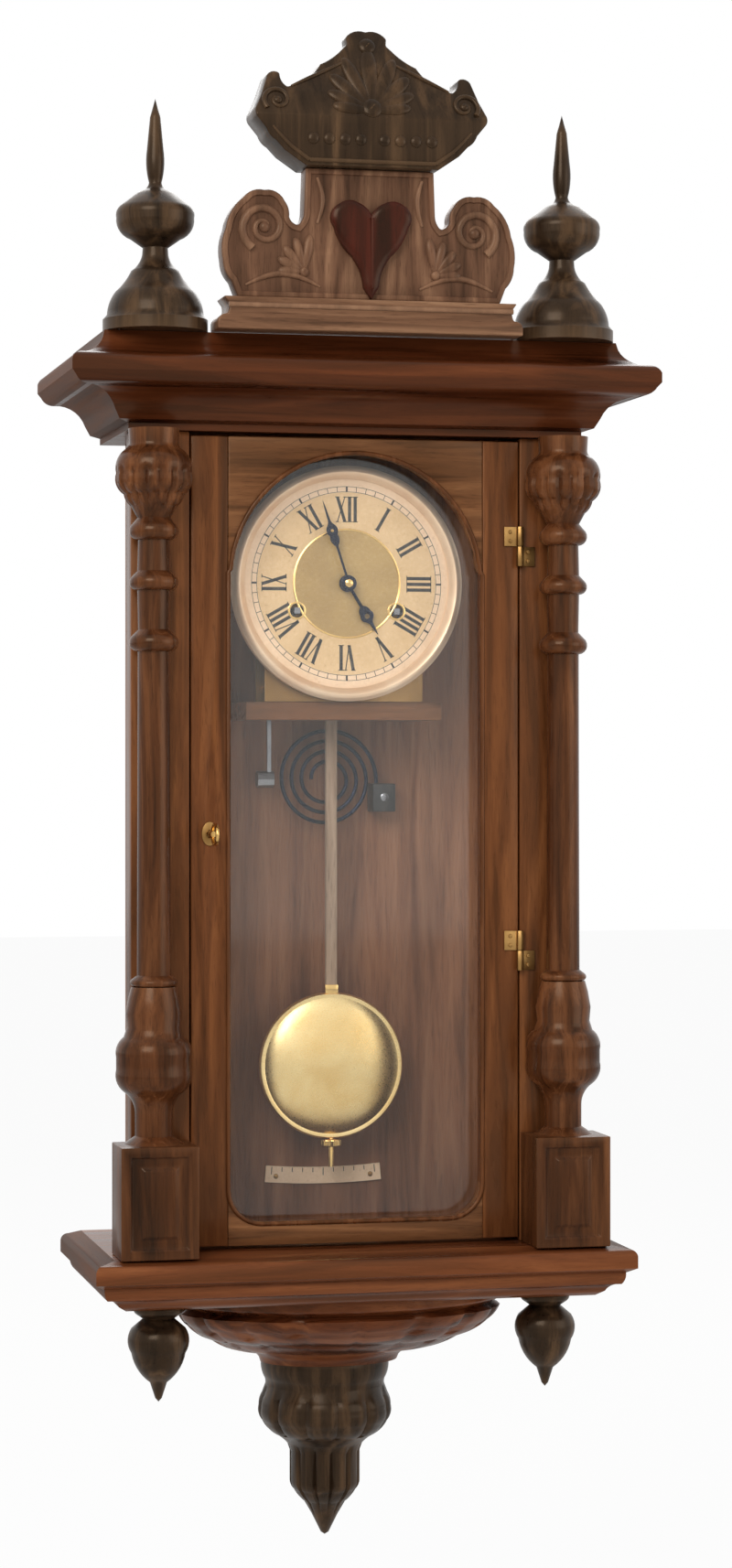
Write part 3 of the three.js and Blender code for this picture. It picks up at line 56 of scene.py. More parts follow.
# Case; a piece's outline is given beside its making, in shares of these
BACKBOARD = Sizes(half=155, thickness=14)
CARCASE = Sizes(inner=143, lip_front=112, post_front=134)
CORNICE = Sizes(foot=111, height=71, overhang=49, half=175, front=140, roof=12)
CORNICE_TOP = CORNICE.foot + CORNICE.height
PLINTH = Sizes(foot=-541, height=39, overhang=26, half=180, front=160)
BOWL = Sizes(foot=-603.3, height=62, radius=129, deep=0.72, deep_fall=0.13)
KNOB = Sizes(x=0, depth=22, radius=52, foot=BOWL.foot - GAP - 140, height=140)
DROP = Sizes(x=150, depth=126, radius=21.4, foot=PLINTH.foot - GAP - 73.5, height=73.5)
SPIRE = Sizes(x=156.5, depth=150, radius=39, foot=CORNICE_TOP + GAP, height=173)
COLUMN = Sizes(x=157.5, depth=150, radius=28, foot=-302.3, height=413)
PEDESTAL = Sizes(half=29, foot=-501.7, top=-418.7)
VASE = Sizes(x=157.5, depth=150, radius=28, foot=PEDESTAL.top, height=116.1)
WINDOW = Sizes(x=155.6, near=-87, far=-31, low=-458, high=67, corner=6)

# Crest; its relief stands on the panel's sunk field
CREST_FIELD = 178.8
BASE = Sizes(half=116, foot=CORNICE_TOP + GAP, height=24, front=187, back=155)
PANEL = Sizes(half=111, foot=BASE.foot + BASE.height + GAP, height=97, front=180, back=162)
HEART = Sizes(half=28, foot=PANEL.foot + GAP, height=74, front=185, back=CREST_FIELD + GAP)
CAP = Sizes(half=87, foot=PANEL.foot + PANEL.height + GAP, height=105, front=189, back=151)
CAP.brow, CAP.top_front = 0.35, 165

# Door
DOOR_BEAD = Sizes(rim=98.4, arch=97, spring=6, sill=-483, corner=26)
HINGES = {"upper": 28, "lower": -280}
LEAF_FRONT = 135.4
KEY = Sizes(x=-112.7, z=-190, bow_depth=157)

# Dial
DIAL = Sizes(radius=84, front=101, back=99.5, well=100.5, chapter=101.05)
MINUTE_TRACK = (70, 74)
WINDING = [(-39, -21), (39, -21)]
HOURS = ["I", "II", "III", "IIII", "V", "VI", "VII", "VIII", "IX", "X", "XI", "XII"]
NUMERAL = Sizes(height=19.5, foot=47.0, thick=2.5, thin=0.8, serif=0.6)

# Pendulum, gong and beat scale
PENDULUM_DEPTH = 45
BOB_Z = -373
GONG = Sizes(z=-150, radius=40, pitch=8, wire=3.2, depth=28, turns=3.5)
BEAT = Sizes(axis=68.5, inner=524.6, short=528, long=530.5, degrees=0.9)


# --- Finishes ---


def screen(colour):
    """A colour written as it shows on screen, 0 to 255, made linear"""

    def channel(value):
        value /= 255
        return value / 12.92 if value <= 0.04045 else ((value + 0.055) / 1.055) ** 2.4

    return (*map(channel, colour), 1.0)


def feed(tree, node, inputs):
    """Gives a node's inputs constants or the outputs that drive them"""
    for key, value in inputs.items():
        if hasattr(value, "is_linked"):
            tree.links.new(value, node.inputs[key])
        else:
            node.inputs[key].default_value = value


def grow(tree, kind, output, inputs=(), **settings):
    """Adds a node, sets it up, feeds it and gives one of its outputs"""
    node = tree.nodes.new(f"ShaderNode{kind}")
    for name, value in settings.items():
        setattr(node, name, value)
    feed(tree, node, dict(inputs))
    return node.outputs[output]


def open_tree(owner):
    owner.use_nodes = True
    return owner.node_tree


class Finish:
    """A material with one Principled shader and the nodes that feed it"""

    def __init__(self, name, scale=(1, 1, 1)):
        self.material = bpy.data.materials.new(name)
        self.tree = open_tree(self.material)
        place = grow(self.tree, "TexCoord", "Object")
        self.place = grow(self.tree, "Mapping", "Vector", {"Vector": place, "Scale": scale})

    def noise(self, scale, **settings):
        levels = {"Detail": 4.0, "Distortion": 0.0, "Roughness": 0.55, **settings}
        return grow(self.tree, "TexNoise", "Fac", {"Vector": self.place, "Scale": scale, **levels})

    def ramp(self, source, *stops):
        colour = grow(self.tree, "ValToRGB", "Color", {"Fac": source})
        elements = colour.node.color_ramp.elements
        while len(elements) < len(stops):
            elements.new(0.5)
        for element, (position, shade) in zip(elements, stops):
            element.position = position
            element.color = shade
        return colour

    def spread(self, source, low, high, bottom, top):
        ends = {"From Min": low, "From Max": high, "To Min": bottom, "To Max": top}
        return grow(self.tree, "MapRange", "Result", {"Value": source, **ends})

    def mix(self, how, share, first, second):
        inputs = {0: share, 6: first, 7: second}
        return grow(self.tree, "Mix", 2, inputs, data_type="RGBA", blend_type=how)

    def worn_and_painted_light(self, colour, lighter, strength):
        """Convex edges are lighter, partly rubbed wear and partly a painted highlight; hollows are
        darker, partly dirt and partly painted shade
        """
        shape = grow(self.tree, "NewGeometry", "Pointiness")
        # Painted highlight on convex edges, partly real rubbing
        rubbed_and_highlit = self.spread(shape, 0.52, 0.62, 0, strength)
        # Painted shade in hollows, partly real dirt
        dirt_and_painted_shade = self.spread(shape, 0.40, 0.49, strength * 1.3, 0)
        colour = self.mix("MIX", rubbed_and_highlit, colour, lighter)
        return self.mix("MULTIPLY", dirt_and_painted_shade, colour, (0.25, 0.2, 0.18, 1))

    def made(self, colour, rough, relief, **others):
        """Feeds the shader; rough is (source, least, most), relief (source, strength, distance)"""
        source, least, most = rough
        rough = self.spread(source, 0.3, 0.7, least, most)
        relief = dict(zip(("Height", "Strength", "Distance"), relief))
        relief = grow(self.tree, "Bump", "Normal", relief)
        others = {name.replace("_", " "): value for name, value in others.items()}
        inputs = {"Base Color": colour, "Roughness": rough, "Normal": relief, **others}
        feed(self.tree, self.tree.nodes["Principled BSDF"], inputs)
        return self.material


PLAIN = (1, 1, 1, 1)


def wood(name, dark, middle, light, along="Z", gloss=0.28, rub_and_painted_light=0.3):
    """Polished wood; its grain runs along one axis"""
    finish = Finish(name, [0.07 if axis == along else 1.0 for axis in "XYZ"])
    streaks = finish.noise(75, Detail=5, Distortion=0.9)
    figure = finish.noise(17, Detail=3, Distortion=1.6)
    pores = finish.noise(900, Detail=2, Roughness=0.7)
    grain = finish.ramp(streaks, (0.3, screen(dark)), (0.5, screen(middle)), (0.72, screen(light)))
    clouds = finish.ramp(figure, (0.3, (0.5, 0.45, 0.42, 1)), (0.7, (1.25, 1.2, 1.15, 1)))
    pits = finish.ramp(pores, (0.33, (0.35, 0.3, 0.28, 1)), (0.45, PLAIN))
    colour = finish.mix("MULTIPLY", 0.5, finish.mix("MULTIPLY", 0.55, grain, clouds), pits)
    # Edges lightened and hollows darkened: wear and dirt, with a painted highlight and painted
    # shade
    return finish.made(
        finish.worn_and_painted_light(colour, screen(light), rub_and_painted_light), (streaks, gloss - 0.05, gloss + 0.09),
        (pores, 0.12, 0.0003), Coat_Weight=0.05, Coat_Roughness=0.14, Specular_IOR_Level=0.24,
        Specular_Tint=(1, 0.7, 0.45, 1),
    )


def metal(name, colour, tint, roughness=0.3, scratch=0.15, shine=1.0):
    """Metal with a little tarnish and fine working marks"""
    finish = Finish(name)
    clouds = finish.noise(28, Distortion=0.4)
    marks = finish.noise(1400, Detail=2)
    toned = finish.ramp(clouds, (0.3, screen(tint)), (0.62, screen(colour)))
    # Edges lightened and hollows darkened: wear and dirt, with a painted highlight and painted
    # shade
    toned = finish.worn_and_painted_light(toned, screen(colour), 0.25)
    rough = (marks, roughness - 0.06, roughness + 0.08)
    return finish.made(toned, rough, (marks, scratch, 0.00008), Metallic=shine)


def enamel(name, colour, aged):
    """Glossy ivory enamel, faintly aged"""
    finish = Finish(name)
    clouds = finish.noise(22, Detail=5, Distortion=0.6)
    specks = finish.noise(420, Detail=2)
    toned = finish.ramp(clouds, (0.3, screen(aged)), (0.62, screen(colour)))
    spots = finish.ramp(specks, (0.30, (0.72, 0.62, 0.5, 1)), (0.37, PLAIN))
    toned = finish.mix("MULTIPLY", 0.35, toned, spots)
    coat = {"Coat_Weight": 0.3, "Coat_Roughness": 0.06}
    return finish.made(toned, (specks, 0.2, 0.3), (clouds, 0.05, 0.0004), **coat)


def dark_paint(name, colour, worn_colour):
    """Fired or painted black, a little thin in places"""
    finish = Finish(name)
    thin = finish.noise(160)
    toned = finish.ramp(thin, (0.35, screen(worn_colour)), (0.5, screen(colour)))
    return finish.made(toned, (thin, 0.3, 0.42), (thin, 0.05, 0.0001))


def window_glass(name):
    """Old drawn glass: clear, and mirroring more where it is seen edge on"""
    finish = Finish(name, (1, 1, 0.4))
    waves = finish.noise(9, Detail=2)
    smears = finish.noise(35, Distortion=0.5)
    tint = finish.ramp(smears, (0.3, (0.86, 0.9, 0.88, 1)), (0.7, (0.95, 0.97, 0.96, 1)))
    # The mirror grows with the fifth power of the slant, alike on both faces of the pane
    slant = grow(finish.tree, "LayerWeight", "Facing", {"Blend": 0.5})
    edge_on = grow(finish.tree, "Math", "Value", {0: slant, 1: 5}, operation="POWER")
    mirror = finish.spread(edge_on, 0.0, 1.0, 0.039, 0.8)
    surface = {"Alpha": mirror, "IOR": 1.5, "Metallic": 0.8}
    return finish.made(tint, (smears, 0.03, 0.08), (waves, 0.06, 0.002), **surface)


walnut_upright = wood("walnut_upright", (56, 28, 12), (98, 55, 28), (136, 84, 47))
walnut_rail = wood("walnut_rail", (60, 36, 20), (110, 70, 42), (148, 102, 66), "X")
walnut_level = wood("walnut_level", (50, 22, 10), (98, 50, 26), (136, 80, 46), "X")
walnut_cornice = wood("walnut_cornice", (36, 13, 4), (73, 33, 14), (104, 55, 29), "X")
walnut_return = wood("walnut_return", (36, 16, 8), (72, 40, 24), (104, 64, 42), "Y", gloss=0.6)
walnut_crest = wood("walnut_crest", (72, 48, 34), (118, 84, 62), (154, 118, 90), "X")
walnut_block = wood("walnut_block", (36, 17, 8), (70, 38, 19), (108, 66, 38), gloss=0.3, rub_and_painted_light=0.5)
walnut_turned = wood(
    "walnut_turned", (46, 23, 11), (88, 50, 27), (128, 80, 48), gloss=0.24, rub_and_painted_light=0.5
)
walnut_carved = wood(
    "walnut_carved", (58, 37, 26), (104, 73, 55), (146, 110, 84), gloss=0.36, rub_and_painted_light=0.6
)
walnut_back = wood("walnut_back", (104, 64, 42), (138, 92, 64), (160, 114, 84), gloss=0.5, rub_and_painted_light=0.1)
ebonised = wood("ebonised", (26, 18, 12), (48, 35, 24), (88, 66, 46), gloss=0.3, rub_and_painted_light=0.75)
redwood = wood("redwood", (24, 5, 2), (46, 11, 6), (70, 22, 14), gloss=0.3, rub_and_painted_light=0.5)
pale_rod = wood("pale_rod", (128, 104, 84), (166, 142, 120), (190, 168, 146), gloss=0.35, rub_and_painted_light=0.1)
polished_brass = metal("polished_brass", (236, 198, 128), (204, 160, 92), 0.2)
aged_brass = metal("aged_brass", (168, 130, 78), (122, 90, 50), 0.36)
bright_brass = metal("bright_brass", (250, 222, 160), (236, 198, 128), scratch=0.08)
steel = metal("steel", (150, 150, 152), (112, 112, 116))
blued_steel = metal("blued_steel", (38, 42, 60), (24, 26, 36), 0.28)
pale_gilt = metal("pale_gilt", (255, 226, 192), (240, 202, 164), 0.42, scratch=0.06, shine=0.6)
ivory = enamel("ivory", (252, 220, 184), (240, 206, 166))
ivory_chapter = enamel("ivory_chapter", (236, 200, 150), (222, 184, 130))
ivory_centre = enamel("ivory_centre", (194, 160, 98), (176, 142, 84))
numeral_black = dark_paint("numeral_black", (34, 30, 28), (70, 62, 54))
black_iron = dark_paint("black_iron", (42, 38, 35), (66, 58, 52))
glass = window_glass("window_glass")


# --- Shaping by hand ---


def pick_nothing():
    bpy.ops.object.select_all(action="DESELECT")


def take(obj):
    """Only this object is selected and active"""
    pick_nothing()
    obj.select_set(True)
    bpy.context.view_layer.objects.active = obj


def settle_place():
    """Puts place, turn and scale into the mesh"""
    bpy.ops.object.transform_apply(location=True, rotation=True, scale=True)


def open_mesh():
    """Edit mode, picking by vertex"""
    bpy.ops.object.mode_set(mode="EDIT")
    bpy.ops.mesh.select_mode(type="VERT")


def close_mesh():
    bpy.ops.object.mode_set(mode="OBJECT")


def shaping(obj):
    take(obj)
    open_mesh()


def pick_all():
    bpy.ops.mesh.select_all(action="SELECT")


def weld():
    """Merges the doubles of the whole mesh"""
    pick_all()
    bpy.ops.mesh.remove_doubles(threshold=WELD)


def extrude(step):
    bpy.ops.mesh.extrude_region_move(TRANSFORM_OT_translate={"value": step})


def even_normals(obj):
    shaping(obj)
    weld()
    bpy.ops.mesh.normals_make_consistent(inside=False)
    close_mesh()


def choose(obj, wanted, kind="VERT"):
    """In edit mode, picks the vertices or the faces that a test picks"""
    bpy.ops.mesh.select_mode(type=kind)
    bpy.ops.mesh.select_all(action="DESELECT")
    close_mesh()
    for element in obj.data.vertices if kind == "VERT" else obj.data.polygons:
        element.select = bool(wanted(element))
    bpy.ops.object.mode_set(mode="EDIT")


def inset_front(obj, steps):
    """Works the front faces in by (width, rise) steps, one inside the other"""
    even_normals(obj)
    shaping(obj)
    choose(obj, lambda face: face.normal.y < -0.999, "FACE")
    for width, rise in steps:
        bpy.ops.mesh.inset(thickness=width * MM, depth=rise * MM)
    close_mesh()


def modify(obj, kind, **settings):
    """Adds a modifier with its settings and applies it"""
    bpy.ops.object.modifier_add(type=kind)
    modifier = obj.modifiers[-1]
    for name, value in settings.items():
        setattr(modifier, name, value)
    bpy.ops.object.modifier_apply(modifier=modifier.name)


def sized(scale=(1, 1, 1)):
    """The shape just added, brought to its size"""
    obj = bpy.context.object
    obj.scale = scale
    settle_place()
    return obj


def placed(obj, turn, place):
    """Turns a shape about the origin and moves it to its place"""
    obj.rotation_euler = turn
    obj.location = [v * MM for v in place]
    take(obj)
    settle_place()
    return obj


def arc(across, up, radii, start, stop, steps):
    """Evenly spaced points from start to stop degrees round a circle or an ellipse"""
    turns = [radians(start + (stop - start) * k / steps) for k in range(steps + 1)]
    return [(across + radii[0] * cos(t), up + radii[1] * sin(t)) for t in turns]


def outline(shares, width, height, arc_steps=7):
    """Points from [across, up, bulge] shares; a bulge bends the stretch that ends at its point"""
    points = []
    for across, up, *bend in shares:
        end = Vector((across * width, up * height))
        if bend:
            start, bulge = points[-1], bend[0]
            chord = end - start
            outward = Vector((chord.y, -chord.x))
            half = 2 * atan(abs(bulge))
            for k in range(1, arc_steps):
                turn = half * (2 * k / arc_steps - 1)
                along = (sin(turn) / sin(half) + 1) / 2
                rise = (cos(turn) - cos(half)) / sin(half) / 2
                points.append(start + chord * along + outward * copysign(rise, bulge))
        points.append(end)
    return points


def raise_face(levels):
    """In edit mode, draws a face up through (across, deep, centre x, centre y, height) levels"""
    open_mesh()
    for before, level in zip(levels, levels[1:]):
        extrude([(b - a) * MM for a, b in zip(before[2:], level[2:])])
        bpy.ops.transform.resize(
            value=(level[0] / before[0], level[1] / before[1], 1),
            center_override=[v * MM for v in level[2:]],
        )
    close_mesh()


def stacked(levels, sides=64):
    """A round or oval shell, raised by (across, deep, centre x, centre y, height) levels"""
    across, deep, *centre = levels[0]
    pick_nothing()
    bpy.ops.mesh.primitive_circle_add(
        vertices=sides, radius=1, fill_type="NGON", location=[v * MM for v in centre]
    )
    obj = sized((across * MM, deep * MM, 1))
    raise_face(levels)
    return obj


def turned(stations, x=0, y=0, z=0, sides=64):
    """Turned upright from (radius, height) stations; a zero radius closes to a point"""
    obj = stacked([(max(r, NEEDLE), max(r, NEEDLE), x, y, z + h) for r, h in stations], sides)
    for radius, height in (stations[0], stations[-1]):
        if radius == 0:
            shaping(obj)
            tip = Vector((x, y, z + height)) * MM
            choose(obj, lambda v: (v.co - tip).length < 2 * NEEDLE * MM)
            bpy.ops.mesh.merge(type="CENTER")
            close_mesh()
    return obj


def turned_from(size, sign=1, sides=64):
    """Turned from shares of its radius and height, at its place on one side"""
    points = outline(size.shares, size.radius, size.height)
    return turned(points, sign * size.x, -size.depth, size.foot, sides)


def turned_facing(stations, x=0, z=0, sides=96):
    """Turned on an axis that faces the viewer; stations are (radius, depth from the wall)"""
    return placed(turned(stations, sides=sides), UP_TO_FRONT, (x, 0, z))


def drawn(points):
    """In edit mode, edges drawn from (x, y, z) point to point, and filled"""
    pick_nothing()
    bpy.ops.mesh.primitive_plane_add(size=MM, location=[v * MM for v in points[0]])
    obj = sized()
    open_mesh()
    bpy.ops.mesh.merge(type="CENTER")
    for start, end in zip(points, points[1:]):
        extrude([(b - a) * MM for a, b in zip(start, end)])
    pick_all()
    bpy.ops.mesh.edge_face_add()
    return obj


def ring_facing(section, x=0, z=0, sides=96):
    """A ring that faces the viewer: its (radius, depth) section, spun round by hand"""
    obj = drawn([(radius, 0, depth) for radius, depth in section])
    bpy.ops.mesh.delete(type="ONLY_FACE")
    pick_all()
    bpy.ops.mesh.spin(steps=sides, angle=2 * pi, center=(0, 0, 0), axis=(0, 0, 1), dupli=False)
    weld()
    close_mesh()
    return placed(obj, UP_TO_FRONT, (x, 0, z))


def traced(points, front, back):
    """A flat outline of (x, z) points, traced vertex by vertex and given its thickness"""
    obj = drawn([(x, -front, z) for x, z in points])
    pick_all()
    extrude((0, (front - back) * MM, 0))
    close_mesh()
    return obj


def sawn(size):
    """A board sawn to an outline that is alike on both sides"""
    half = [(p.x, p.y + size.foot) for p in outline(size.shares, size.half, size.height, 6)]
    left = [(-x, z) for x, z in reversed(half) if x > 0.001]
    return traced(half + left, size.front, size.back)


def moulded(size):
    """A moulding mitred round the front and both sides, by shares of its overhang and height"""
    points = outline(size.shares, size.overhang, size.height)
    levels = [(size.half + p.x, size.front + p.x, 0, 0, size.foot + p.y) for p in points]
    across, deep, *_, z = levels[0]
    pick_nothing()
    bpy.ops.mesh.primitive_plane_add(size=1, location=(0, -deep / 2 * MM, z * MM))
    obj = sized((2 * across * MM, deep * MM, 1))
    raise_face(levels)
    return obj


def block(x, y, z):
    """A block between two places on each axis"""
    pick_nothing()
    bpy.ops.mesh.primitive_cube_add(size=1, location=[(a + b) / 2 * MM for a, b in (x, y, z)])
    return sized([abs(b - a) * MM for a, b in (x, y, z)])


def hollow(obj, *cutters):
    """Cuts other shapes out of this one and does away with them"""
    even_normals(obj)
    for cutter in cutters:
        even_normals(cutter)
        take(obj)
        modify(obj, "BOOLEAN", operation="DIFFERENCE", solver="MANIFOLD", object=cutter)
        bpy.data.objects.remove(cutter)
    return obj


def ease(obj, width, segments=2):
    """Takes the sharpness off every hard edge"""
    take(obj)
    hard = {"limit_method": "ANGLE", "angle_limit": radians(35)}
    modify(obj, "BEVEL", width=width * MM, segments=segments, **hard)
    return obj


def slice_off(obj, place, normal):
    """Cuts away what lies beyond a plane and closes the cut"""
    shaping(obj)
    pick_all()
    bpy.ops.mesh.bisect(
        plane_co=[v * MM for v in place], plane_no=normal, use_fill=True, clear_outer=True,
        threshold=WELD / 10,
    )
    close_mesh()


def flute(obj, x, depth, low, high, count, share, half_width, flatness=1):
    """Draws evenly spaced lines in towards the axis; a line is half_width degrees to each side"""
    shaping(obj)
    pitch, reach = 2 * pi / count, radians(half_width)

    def in_flute(vertex):
        across, deep, z = vertex.co
        turn = atan2((deep + depth * MM) / flatness, across - x * MM) % pitch
        return low * MM < z < high * MM and min(turn, pitch - turn) < reach

    choose(obj, in_flute)
    bpy.ops.transform.resize(value=(share, share, 1), center_override=(x * MM, -depth * MM, 0))
    close_mesh()


def bead(points, radius, closed=False, taper=None):
    """A round bead along (x, y, z) points in one upright plane; taper shares out its radius"""
    route = [Vector(point) * MM for point in points]
    shares = list(taper) if taper else [1] * len(route)
    if closed:
        route.append(route[0])
        shares.append(shares[0])
    faces_front = max(p.y for p in route) - min(p.y for p in route) < 0.5 * MM
    axis = "Y" if faces_front else "X"
    before, after = (route[-2], route[1]) if closed else (route[0], route[-1])
    around = [before, *route, after]

    def heading(i):
        way = around[i + 2] - around[i]
        return atan2(way.x, way.z) if faces_front else atan2(-way.y, way.z)

    turn = heading(0)
    pick_nothing()
    bpy.ops.mesh.primitive_circle_add(
        vertices=10, radius=radius * shares[0] * MM, fill_type="NOTHING" if closed else "NGON",
        location=route[0], rotation=(0, turn, 0) if faces_front else (turn, 0, 0),
    )
    obj = sized()
    open_mesh()
    for i in range(1, len(route)):
        extrude(route[i] - route[i - 1])
        to_turn = heading(i)
        step = (to_turn - turn + pi) % (2 * pi) - pi
        if abs(step) > 0.0001:
            bpy.ops.transform.rotate(value=-step, orient_axis=axis, center_override=route[i])
        if shares[i] != shares[i - 1]:
            narrowing = shares[i] / shares[i - 1]
            bpy.ops.transform.resize(value=[narrowing] * 3, center_override=route[i])
        turn = to_turn
    close_mesh()
    return obj


def swelling_bead(place, steps, radius, least):
    """A bead along place(0) to place(1) that swells from its least share to the middle"""
    points = [place(k / steps) for k in range(steps + 1)]
    taper = [least + (1 - least) * sin(pi * k / steps) for k in range(steps + 1)]
    return bead(points, radius, taper=taper)


def petal(base, length, width, thickness, degrees):
    """A carved petal that grows from its base, leaning clockwise by degrees"""
    pick_nothing()
    bpy.ops.mesh.primitive_uv_sphere_add(
        segments=20, ring_count=12, radius=0.5, location=(0, 0, 0.5)
    )
    obj = sized()
    modify(obj, "SIMPLE_DEFORM", deform_method="TAPER", deform_axis="Z", factor=0.8)
    across, deep, _ = obj.dimensions
    sized((width / across * MM, thickness / deep * MM, length * MM))
    return placed(obj, (0, radians(degrees), 0), base)


def joined(parts):
    """Several shaped parts made one piece"""
    pick_nothing()
    for part in parts:
        part.select_set(True)
    bpy.context.view_layer.objects.active = parts[0]
    bpy.ops.object.join()
    return parts[0]


def linked(name, data):
    """A new object in the scene"""
    obj = bpy.data.objects.new(name, data)
    bpy.context.scene.collection.objects.link(obj)
    return obj


def repeated(obj, matrices):
    """Copies of one shape in its stead, each mesh moved by its matrix"""
    copies = []
    for matrix in matrices:
        mesh = obj.data.copy()
        mesh.transform(matrix)
        copies.append(linked(obj.name, mesh))
    bpy.data.objects.remove(obj)
    return copies


def clockwise(degrees):
    """A turn, as the viewer sees it, about the centre of the dial"""
    return Matrix.Rotation(radians(degrees), 4, "Y")


def present(obj, name, finish, slot, *stands_for, body="case", smooth=SMOOTH_BELOW):
    """Finishes a piece and hangs it on its body of the frame"""
    even_normals(obj)
    settle_place()
    bpy.ops.object.shade_smooth_by_angle(angle=smooth)
    obj.name = obj.data.name = name
    obj.data.materials.clear()
    obj.data.materials.append(finish)
    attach(obj, body)
    if stands_for:
        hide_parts(*stands_for)


def grain_on_returns(obj, finish):
    """Behind its mitres a moulding's grain runs from front to back"""
    obj.data.materials.append(finish)
    for face in obj.data.polygons:
        if abs(face.normal.x) > 0.02 and abs(face.normal.y) < 0.02:
            face.material_index = 1


def eased_copy(node, finish, slot, edge=0.8, segments=2, body="case"):
    """A copy of a frame node with eased edges stands for it"""
    obj = linked(node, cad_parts[node].data.copy())
    shaping(obj)
    weld()
    bpy.ops.mesh.dissolve_limited(angle_limit=radians(0.5))
    close_mesh()
    ease(obj, edge, segments)
    present(obj, f"{node}_eased", finish, slot, node, body=body)


# --- Case ---

CORNICE.shares = [
    (0, 0), (0, 0.07), (0.16, 0.1), (0.24, 0.2), (0.74, 0.42, -0.35), (0.94, 0.5, 0.3),
    (1, 0.55), (1, 0.65), (0.84, 0.74, 0.3), (0.46, 0.92, -0.3), (0.43, 1),
]
PLINTH.shares = [
    (0, 0), (0.23, 0.1), (0.62, 0.26, -0.3), (0.72, 0.49, 0.2), (1, 0.59), (1, 0.82),
    (0.77, 0.95, 0.4), (0.38, 1),
]
BOWL.shares = [
    (0.42, 0), (0.43, 0.06), (0.46, 0.13), (0.56, 0.2), (0.77, 0.38, 0.15), (0.92, 0.58, 0.15),
    (0.98, 0.75, 0.15), (0.94, 0.8), (0.97, 0.85), (1, 0.94, 0.5), (1, 1),
]
KNOB.shares = [
    (0, 0), (0.06, 0.015), (0.2, 0.12), (0.31, 0.19), (0.47, 0.26, 0.1), (0.53, 0.31, 0.2),
    (0.53, 0.48), (0.57, 0.52), (0.78, 0.58, -0.1), (0.95, 0.65, 0.15), (1, 0.73, 0.25),
    (0.95, 0.8, 0.15), (0.9, 0.85), (0.93, 0.9, -0.2), (0.96, 1, 0.15),
]
DROP.shares = [
    (0, 0), (0.12, 0.04), (0.3, 0.2), (0.95, 0.5, 0.2), (0.95, 0.75, 0.3), (0.55, 0.85),
    (0.8, 0.9), (0.8, 1, 0.5),
]
SPIRE.shares = [
    (1, 0), (1, 0.05), (0.92, 0.07), (0.76, 0.17, 0.15), (0.46, 0.26, -0.1), (0.25, 0.33, -0.2),
    (0.24, 0.36), (0.49, 0.4), (0.74, 0.49, 0.35), (0.66, 0.54, 0.3), (0.38, 0.59),
    (0.26, 0.605), (0.12, 0.64, -0.3), (0.16, 0.78, 0.1), (0.1, 0.92), (0, 1),
]
COLUMN.shares = [
    (0.55, 0), (0.6, 0.012, 0.6), (0.45, 0.02), (0.43, 0.55), (0.43, 0.6), (0.56, 0.63, 0.7),
    (0.42, 0.64), (0.44, 0.71), (0.58, 0.735, 0.7), (0.44, 0.745), (0.42, 0.8), (0.56, 0.83, 0.7),
    (0.44, 0.84), (0.6, 0.86), (0.8, 0.882, 0.2), (1, 0.92, 0.35), (0.78, 0.962, 0.3),
    (0.66, 0.975, -0.3), (0.68, 1),
]
VASE.shares = [
    (0.8, 0), (0.5, 0.05), (0.5, 0.19), (0.8, 0.33, -0.25), (1, 0.47, 0.3), (1, 0.55),
    (0.8, 0.68, 0.3), (0.72, 0.74), (0.75, 0.83), (0.68, 0.93), (0.6, 1),
]
KNOB_FLUTES = [(22, 68, 0.9), (82, 114, 0.95)]
SUNK_PANEL = [(7, 0), (1.5, -2), (6, 0), (3, 2.4)]


def span(size, low, high):
    """Two heights from shares of a size's own height"""
    return size.foot + low * size.height, size.foot + high * size.height


def room_for_backboard():
    side, back = BACKBOARD.half + GAP, BACKBOARD.thickness + GAP
    return block((-side, side), (-back, SPARE), (PLINTH.foot - SPARE, CORNICE_TOP + SPARE))


def make_cornice():
    obj = moulded(CORNICE)
    inside = block(
        (-CARCASE.inner, CARCASE.inner),
        (-CARCASE.lip_front, -BACKBOARD.thickness),
        (CORNICE.foot - SPARE, CORNICE_TOP - CORNICE.roof),
    )
    hollow(obj, inside, room_for_backboard())
    present(obj, "cornice_moulding", walnut_cornice, "walnut", "cornice")
    grain_on_returns(obj, walnut_return)


def make_plinth():
    obj = hollow(moulded(PLINTH), room_for_backboard())
    present(obj, "plinth_moulding", walnut_level, "walnut", "plinth")
    grain_on_returns(obj, walnut_return)


def make_bowl():
    """Half round against the wall; its depth is a share of its radius that falls as that grows"""
    levels = []
    for p in outline(BOWL.shares, BOWL.radius, BOWL.height):
        deep = p.x * (BOWL.deep - BOWL.deep_fall * p.x / BOWL.radius)
        levels.append((p.x, deep, 0, -deep - GAP, BOWL.foot + p.y))
    obj = stacked(levels, sides=120)
    # Gadroons: every sixth line of the belly is drawn in
    flute(obj, 0, 55, *span(BOWL, 0.2, 0.76), count=20, share=0.972, half_width=1.6, flatness=0.6)
    smooth = radians(60)
    present(obj, "bowl_gadrooned", walnut_level, "walnut", "bracket_bowl", smooth=smooth)


def make_bottom_finial():
    obj = turned_from(KNOB, sides=72)
    for low, high, share in KNOB_FLUTES:
        flute(obj, 0, KNOB.depth, KNOB.foot + low, KNOB.foot + high, 12, share, half_width=3)
    slice_off(obj, (0, 0, 0), (0, 1, 0))
    present(obj, "bottom_finial_turned", ebonised, "ebonised", "bottom_finial")


def off_the_post(obj):
    """Cuts away what would stand in the post behind"""
    slice_off(obj, (0, -CARCASE.post_front - GAP, 0), (0, 1, 0))


